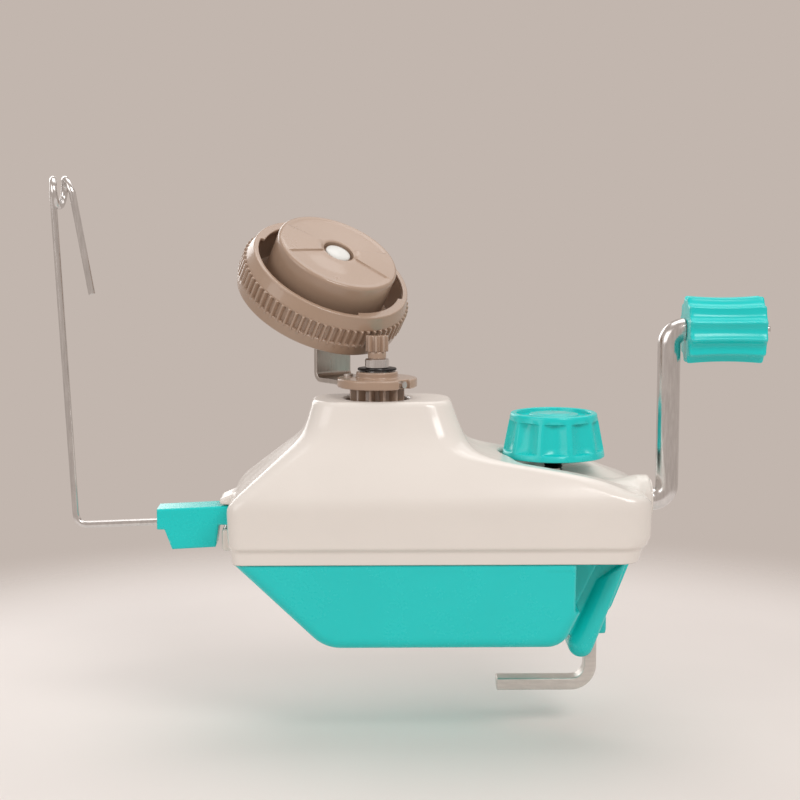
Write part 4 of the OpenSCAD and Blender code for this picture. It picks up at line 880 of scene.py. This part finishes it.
def crank_grip():
    """Waisted grip with long flutes and a small round at each end."""
    end = [(SHAFT_R + 0.06, 0.0, 0), (GRIP_R - 1.6, 0.0, 0.55), (GRIP_R - 1, 0.06, 0.75)]
    end += [(GRIP_R - 0.5, 0.3, 0.95), (GRIP_R - 0.25, 0.75, 1.0)]
    rows = list(end)
    for t in np.linspace(0.06, 0.94, 23):
        rows.append((GRIP_R - 0.12 - GRIP_WAIST * (1 - (2 * t - 1) ** 2), t * GRIP_LEN, 1.0))
    rows += [(r, GRIP_LEN - z, share) for r, z, share in reversed(end)]
    shape = fluted(rows, GRIP_FLUTES * 24, GRIP_FLUTES, depth=1.5, width=0.9)
    shape = put(shape, (GRIP_X, 0, GRIP_Z), rot_y(90) @ rot_z(GRIP_TURN))
    make("crank_grip_skin", shape, "grip", ["crank_grip"], "teal", sharp=60)


# ---------------------------------------------------------------- clamp knob and bar
def clamp_knob():
    """Fluted cone, hollow underneath, with a plain band at each end and a dished top."""
    fade = ((0.15, 0.1), (0.3, 0.5), (0.45, 0.9), (0.6, 1.0))
    bands = [(0.7, 0), (2.2, 0)] + [(2.2 + dz, s) for dz, s in fade] + [(z, 1) for z in (5.0, 8.0, 11.0)]
    bands += [(13.2 - dz, s) for dz, s in reversed(fade)] + [(13.2, 0), (14.6, 0)]
    low = [(3.4, 0.0), (5.8, 0.0), (5.8, 8.6), (12.7, 8.6), (12.7, 0.0)]
    low += [(KNOB_R - 0.9, 0.0), (KNOB_R - 0.45, 0.08), (KNOB_R - 0.15, 0.3)]
    high = [(15.3, 15.1), (15.1, 15.4), (14.75, 15.57), (14.4, 15.6), (13.7, 15.6), (13.35, 15.5), (13.2, 15.2),
            (13.2, 14.4), (13.1, 14.1), (12.8, 14.0), (3.4, 14.0)]
    rows = [(r, z, 0) for r, z in low]
    rows += [(lerp(KNOB_R, KNOB_TOP_R, z / KNOB_H), z, share) for z, share in bands]
    rows += [(r, z, 0) for r, z in high]
    shape = fluted(rows, KNOB_FLUTES * 32, KNOB_FLUTES, depth=1.9, width=0.84)
    shape = put(shape, (KNOB_X, KNOB_Y, KNOB_Z), rot_z(KNOB_PHASE))
    make("clamp_knob_skin", shape, "knob", ["clamp_knob"], "teal")


def knob_cap():
    """Stepped disc in the knob's dished top."""
    rows = [(AXIS_R, 14.0), (8.7, 14.0), (8.7, 14.8), (8.6, 15.0), (8.3, 15.1), (6.4, 15.1), (6.05, 15.15),
            (5.8, 15.32), (5.5, 15.4), (AXIS_R, 15.4)]
    make("knob_cap_skin", put(lathe(rows, 96, False), (KNOB_X, KNOB_Y, KNOB_Z)), "knob", ["knob_cap"], "teal")


def knob_insert():
    """Dark sleeve with turns of thread where it shows under the knob."""
    n, pitch = 64, 1.0
    low, high = (corner[2] for corner in span("knob_insert"))
    bore, root, crest = SHAFT_R + 0.06, 2.95, 3.4
    rows = [(bore, low), (root - 0.05, low)]
    for z in np.arange(low + 0.1, KNOB_Z + 0.4, 0.1):
        wave = np.abs((z / pitch + np.arange(n) / n) % 1.0 - 0.5) * 2
        rows.append((root + (crest - root) * wave, z))
    rows += [(crest, KNOB_Z + 0.7), (crest, high - 0.1), (bore, high - 0.1)]
    shape = put(lathe(rows, n), (KNOB_X, KNOB_Y, 0))
    make("knob_insert_skin", shape, "knob", ["knob_insert"], "black", sharp=60)


def clamp_hook():
    """Flat bar from the lug over the stud, down through the tongue, to the hook under the table."""
    top, bend, foot = LUG_Z + BAR_T / 2, 3.0, HOOK_Z - BAR_T / 2
    line = [(KNOB_X - LUG_R, top), (KNOB_X - LUG_R + 0.2, top), (KNOB_X + LUG_R + 0.5, top)]
    line += arc(BAR_X - bend, top - bend, bend, 90, 0, 8)
    line += [(BAR_X, z) for z in (30, 10, -8)]
    line += arc(BAR_X - BAR_T / 2 - BAR_BEND, HOOK_Z + BAR_BEND, BAR_BEND + BAR_T / 2, 0, -90, 14)
    line += [(60, foot), (HOOK_END + 0.3, foot), (HOOK_END, foot)]
    shape = bar(line, BAR_W, BAR_T, r=0.55, trim=0.5)
    make("clamp_hook_skin", shape, "clamp", ["clamp_hook"], "steel", weighted=True)
    rows = [(SHAFT_R, LUG_Z), (LUG_R - 0.2, LUG_Z), (LUG_R, LUG_Z + 0.2), (LUG_R, LUG_TOP - 0.2),
            (LUG_R - 0.2, LUG_TOP), (SHAFT_R, LUG_TOP)]
    make("clamp_lug", put(lathe(rows, 64), (KNOB_X, KNOB_Y, 0)), "clamp", [], "steel")


# ---------------------------------------------------------------- yarn guide
BRACKET_X, BRACKET_END = bracket_low[0], -WALL_LEFT - SLIDE_GAP
BRACKET_LOW, BRACKET_TOP, BRACKET_HALF = bracket_low[2], bracket_high[2], bracket_high[1]
BRACKET = [(BRACKET_END, BRACKET_TOP), (BRACKET_X, BRACKET_TOP - 1.2), (BRACKET_X, BRACKET_LOW + 7),
           (BRACKET_X + 2.6, BRACKET_LOW + 7), (BRACKET_X + 5.2, BRACKET_LOW),
           (BRACKET_END - 5.1, BRACKET_LOW + 0.8), (BRACKET_END - 4, BRACKET_TOP - 6.9),
           (BRACKET_END, BRACKET_TOP - 6.9)]


def bracket_field(x, y, z):
    """Tapered body with the tail that slides in the socket and a bore for the wire."""
    d = smax(polygon_field(x, z, BRACKET), np.abs(y) - BRACKET_HALF, 0.9)
    tail = box_field(x, y, z, BRACKET_END - 1, 9 - WALL_LEFT, SOCKET_W / 2, SOCKET_Z, SOCKET_Z + SOCKET_H, 0.4)
    bore = np.minimum(WIRE_R + 0.09 - np.hypot(y, z - WIRE_Z), BRACKET_X + BORE_LEN - x)
    return smax(smin(d, tail, 0.4), bore, 0.3)


def guide_bracket():
    shape = solidify(bracket_field, (-78, -7, 30), (-41, 7, 48), 0.4)
    make("guide_bracket_skin", shape, "guide", ["guide_bracket"], "teal")


WIRE_OUT, WIRE_SAG = 28.8, 1.0
WIRE_FOOT = np.array([BRACKET_X - WIRE_OUT, 0.0, WIRE_Z - WIRE_SAG])
WIRE_LEAN, TAIL_LEAN = math.radians(2.8), math.atan(0.172)
EYE_Z, EYE_R, EYE_PITCH, EYE_FLARE, EYE_TURNS, TAIL_LEN = 155.3, 4.5, 4.0, 2.2, 1.5, 35.0
EYE_X = WIRE_FOOT[0] - (EYE_Z - WIRE_FOOT[2]) * math.tan(WIRE_LEAN)


def eye_point(t):
    """Point of the yarn eye after t turns; the last quarter turn flares outward."""
    a = math.pi - 2 * math.pi * t
    x = EYE_X + EYE_PITCH * t + EYE_FLARE * max(0.0, 1 - 4 * (EYE_TURNS - t))
    return np.array([x, -EYE_R - EYE_R * math.cos(a), EYE_Z + EYE_R * math.sin(a)])


def guide_wire():
    """Wire out of the bracket, bent upward to the eye, with a short tail down again."""
    run = np.array([-WIRE_OUT, 0, -WIRE_SAG]) / math.hypot(WIRE_OUT, WIRE_SAG)
    rise = np.array([-math.sin(WIRE_LEAN), 0, math.cos(WIRE_LEAN)])
    fall = np.array([math.sin(TAIL_LEAN), 0, -math.cos(TAIL_LEAN)])
    path = [np.array([x, 0, WIRE_Z]) for x in (BRACKET_X + BORE_LEN, BRACKET_X - 0.5)]
    path += [WIRE_FOOT + WIRE_BEND * (rise * a * a - run * (1 - a) ** 2) for a in np.linspace(0, 1, 13)]
    path += [WIRE_FOOT + rise * d for d in (40, 80, 108)]
    path += [eye_point(t) for t in np.linspace(0, EYE_TURNS, 73)]
    path += [path[-1] + fall * d for d in (2.0, 20.0, TAIL_LEN - 0.4, TAIL_LEN - 0.1, TAIL_LEN)]
    ring = circle(WIRE_R, 24)
    shape = sweep(path, [ring] * (len(path) - 2) + [ring * 0.92, ring * 0.75])
    make("guide_wire_skin", shape, "guide", ["guide_wire"], "bright_rod")


# ---------------------------------------------------------------- CAD nodes that stay, with their finish
KEEP = {
    "ivory": ["gear_frame", "crown_gear"],
    "white_shell": ["crank_bush"],
    "bronze": ["inner_bush"],
    "steel": ["casing_screws", "frame_screws", "gear_pin", "arm_rivets", "spool_axle", "drum_screws",
              "clamp_stud", "stud_nut"],
    "black": ["shaft_ring"],
    "bright_rod": ["grip_washer", "set_screw"],
}


def kept_nodes():
    """Gives each CAD node that stays its material."""
    for slot, nodes in KEEP.items():
        for node in nodes:
            obj = frame["nodes"][node]
            for material_slot in obj.material_slots:
                material_slot.material = MAT[slot]


# ---------------------------------------------------------------- stage
BACKDROP, AMBIENT, FLOOR = (194, 182, 174), (0.50, 0.49, 0.48, 1.0), (226, 217, 212)
FLOOR_R, FADE_NEAR, FADE_FAR = 0.5, 0.21, 0.36


def fading_floor():
    """Pale floor material that fades out between two distances from its middle."""
    n = Nodes("floor")
    base = lin(*FLOOR)
    cloud = n.remap(n.noise(9.0), 0.0, 1.0)
    n.link(n.mix(cloud, shade(base, 0.985), shade(base, 1.015)), n.bsdf.inputs["Base Color"])
    n.bsdf.inputs["Roughness"].default_value = 0.6
    length = n.new("ShaderNodeVectorMath")
    length.operation = "LENGTH"
    fade = n.new("ShaderNodeMapRange", From_Min=FADE_NEAR, From_Max=FADE_FAR)
    fade.interpolation_type = "SMOOTHSTEP"
    clear = n.new("ShaderNodeBsdfTransparent")
    mixer = n.new("ShaderNodeMixShader")
    n.link(n.coord, length.inputs[0])
    n.link(length.outputs["Value"], fade.inputs["Value"])
    n.link(fade.outputs["Result"], mixer.inputs["Fac"])
    n.link(n.bsdf.outputs["BSDF"], mixer.inputs[1])
    n.link(clear.outputs["BSDF"], mixer.inputs[2])
    n.link(mixer.outputs["Shader"], n.tree.nodes["Material Output"].inputs["Surface"])
    return n.mat


def floor():
    place = (0.02, 0, FLOOR_Z * MM)
    bpy.ops.mesh.primitive_circle_add(vertices=96, radius=FLOOR_R, fill_type="NGON", location=place)
    obj = bpy.context.object
    obj.name = "floor"
    obj.data.materials.append(fading_floor())


def world():
    """Plain ambient light; the camera and reflections see the backdrop's colour."""
    studio = bpy.data.worlds.new("studio")
    bpy.context.scene.world = studio
    studio.use_nodes = True
    tree = studio.node_tree
    ray = tree.nodes.new("ShaderNodeLightPath")
    sky = AMBIENT
    for kind in ("Is Camera Ray", "Is Glossy Ray", "Is Transmission Ray"):
        sky = mix_colour(tree, ray.outputs[kind], sky, lin(*BACKDROP))
    tree.links.new(sky, tree.nodes["Background"].inputs["Color"])


def aim(obj, where, target):
    """Puts a lamp or the camera in the scene, looking at a target."""
    obj.location = where
    obj.rotation_mode = "QUATERNION"
    obj.rotation_quaternion = (Vector(target) - Vector(where)).to_track_quat("-Z", "Y")
    bpy.context.scene.collection.objects.link(obj)


def lamp(name, where, target, size, watts, tint=(1, 1, 1)):
    data = bpy.data.lights.new(name, "AREA")
    data.shape = "RECTANGLE"
    data.size, data.size_y = size
    data.energy = watts
    data.color = tint
    aim(bpy.data.objects.new(name, data), where, target)


def lamps():
    lamp("key", (0.55, -0.85, 0.95), (0.02, 0, 0.06), (0.60, 0.45), 6.5, (1.0, 0.985, 0.97))
    lamp("fill", (-0.9, -0.7, 0.55), (0, 0, 0.07), (0.8, 0.8), 3.2, (1.0, 0.98, 0.97))
    lamp("top", (0.0, 0.25, 1.15), (0, 0, 0.06), (0.9, 0.7), 3.0)
    lamp("rim", (0.43, 0.66, 1.03), (-0.02, 0.02, 0.12), (0.75, 0.75), 1.5)
    lamp("side", (-0.50, 0.95, 0.42), (-0.04, 0, 0.06), (0.7, 0.6), 2.6)


def camera():
    """Camera at the photograph's angle."""
    azimuth, elevation, distance, lens = math.radians(-1.0), math.radians(7.0), 0.630, 81.0
    target = Vector((0.008, 0.0, 0.0832))
    level = math.cos(elevation)
    back = Vector((math.sin(azimuth) * level, -math.cos(azimuth) * level, math.sin(elevation)))
    data = bpy.data.cameras.new("camera")
    data.sensor_width, data.lens = 36.0, lens
    data.clip_start, data.clip_end = 0.01, 20.0
    obj = bpy.data.objects.new("camera", data)
    aim(obj, target + back * distance, target)
    bpy.context.scene.camera = obj
    bpy.context.scene.view_settings.view_transform = "Standard"


# ---------------------------------------------------------------- build
for part in (top_shell, base_shell, ring_gear, winding_drum, axle_cap, rotor_gear, sun_pinion, rotor_flange,
             spindle_post, post_clip, arm_strip, crank_rod, crank_grip, clamp_knob, knob_cap, knob_insert,
             clamp_hook, guide_bracket, guide_wire, kept_nodes, floor, world, lamps, camera):
    part()
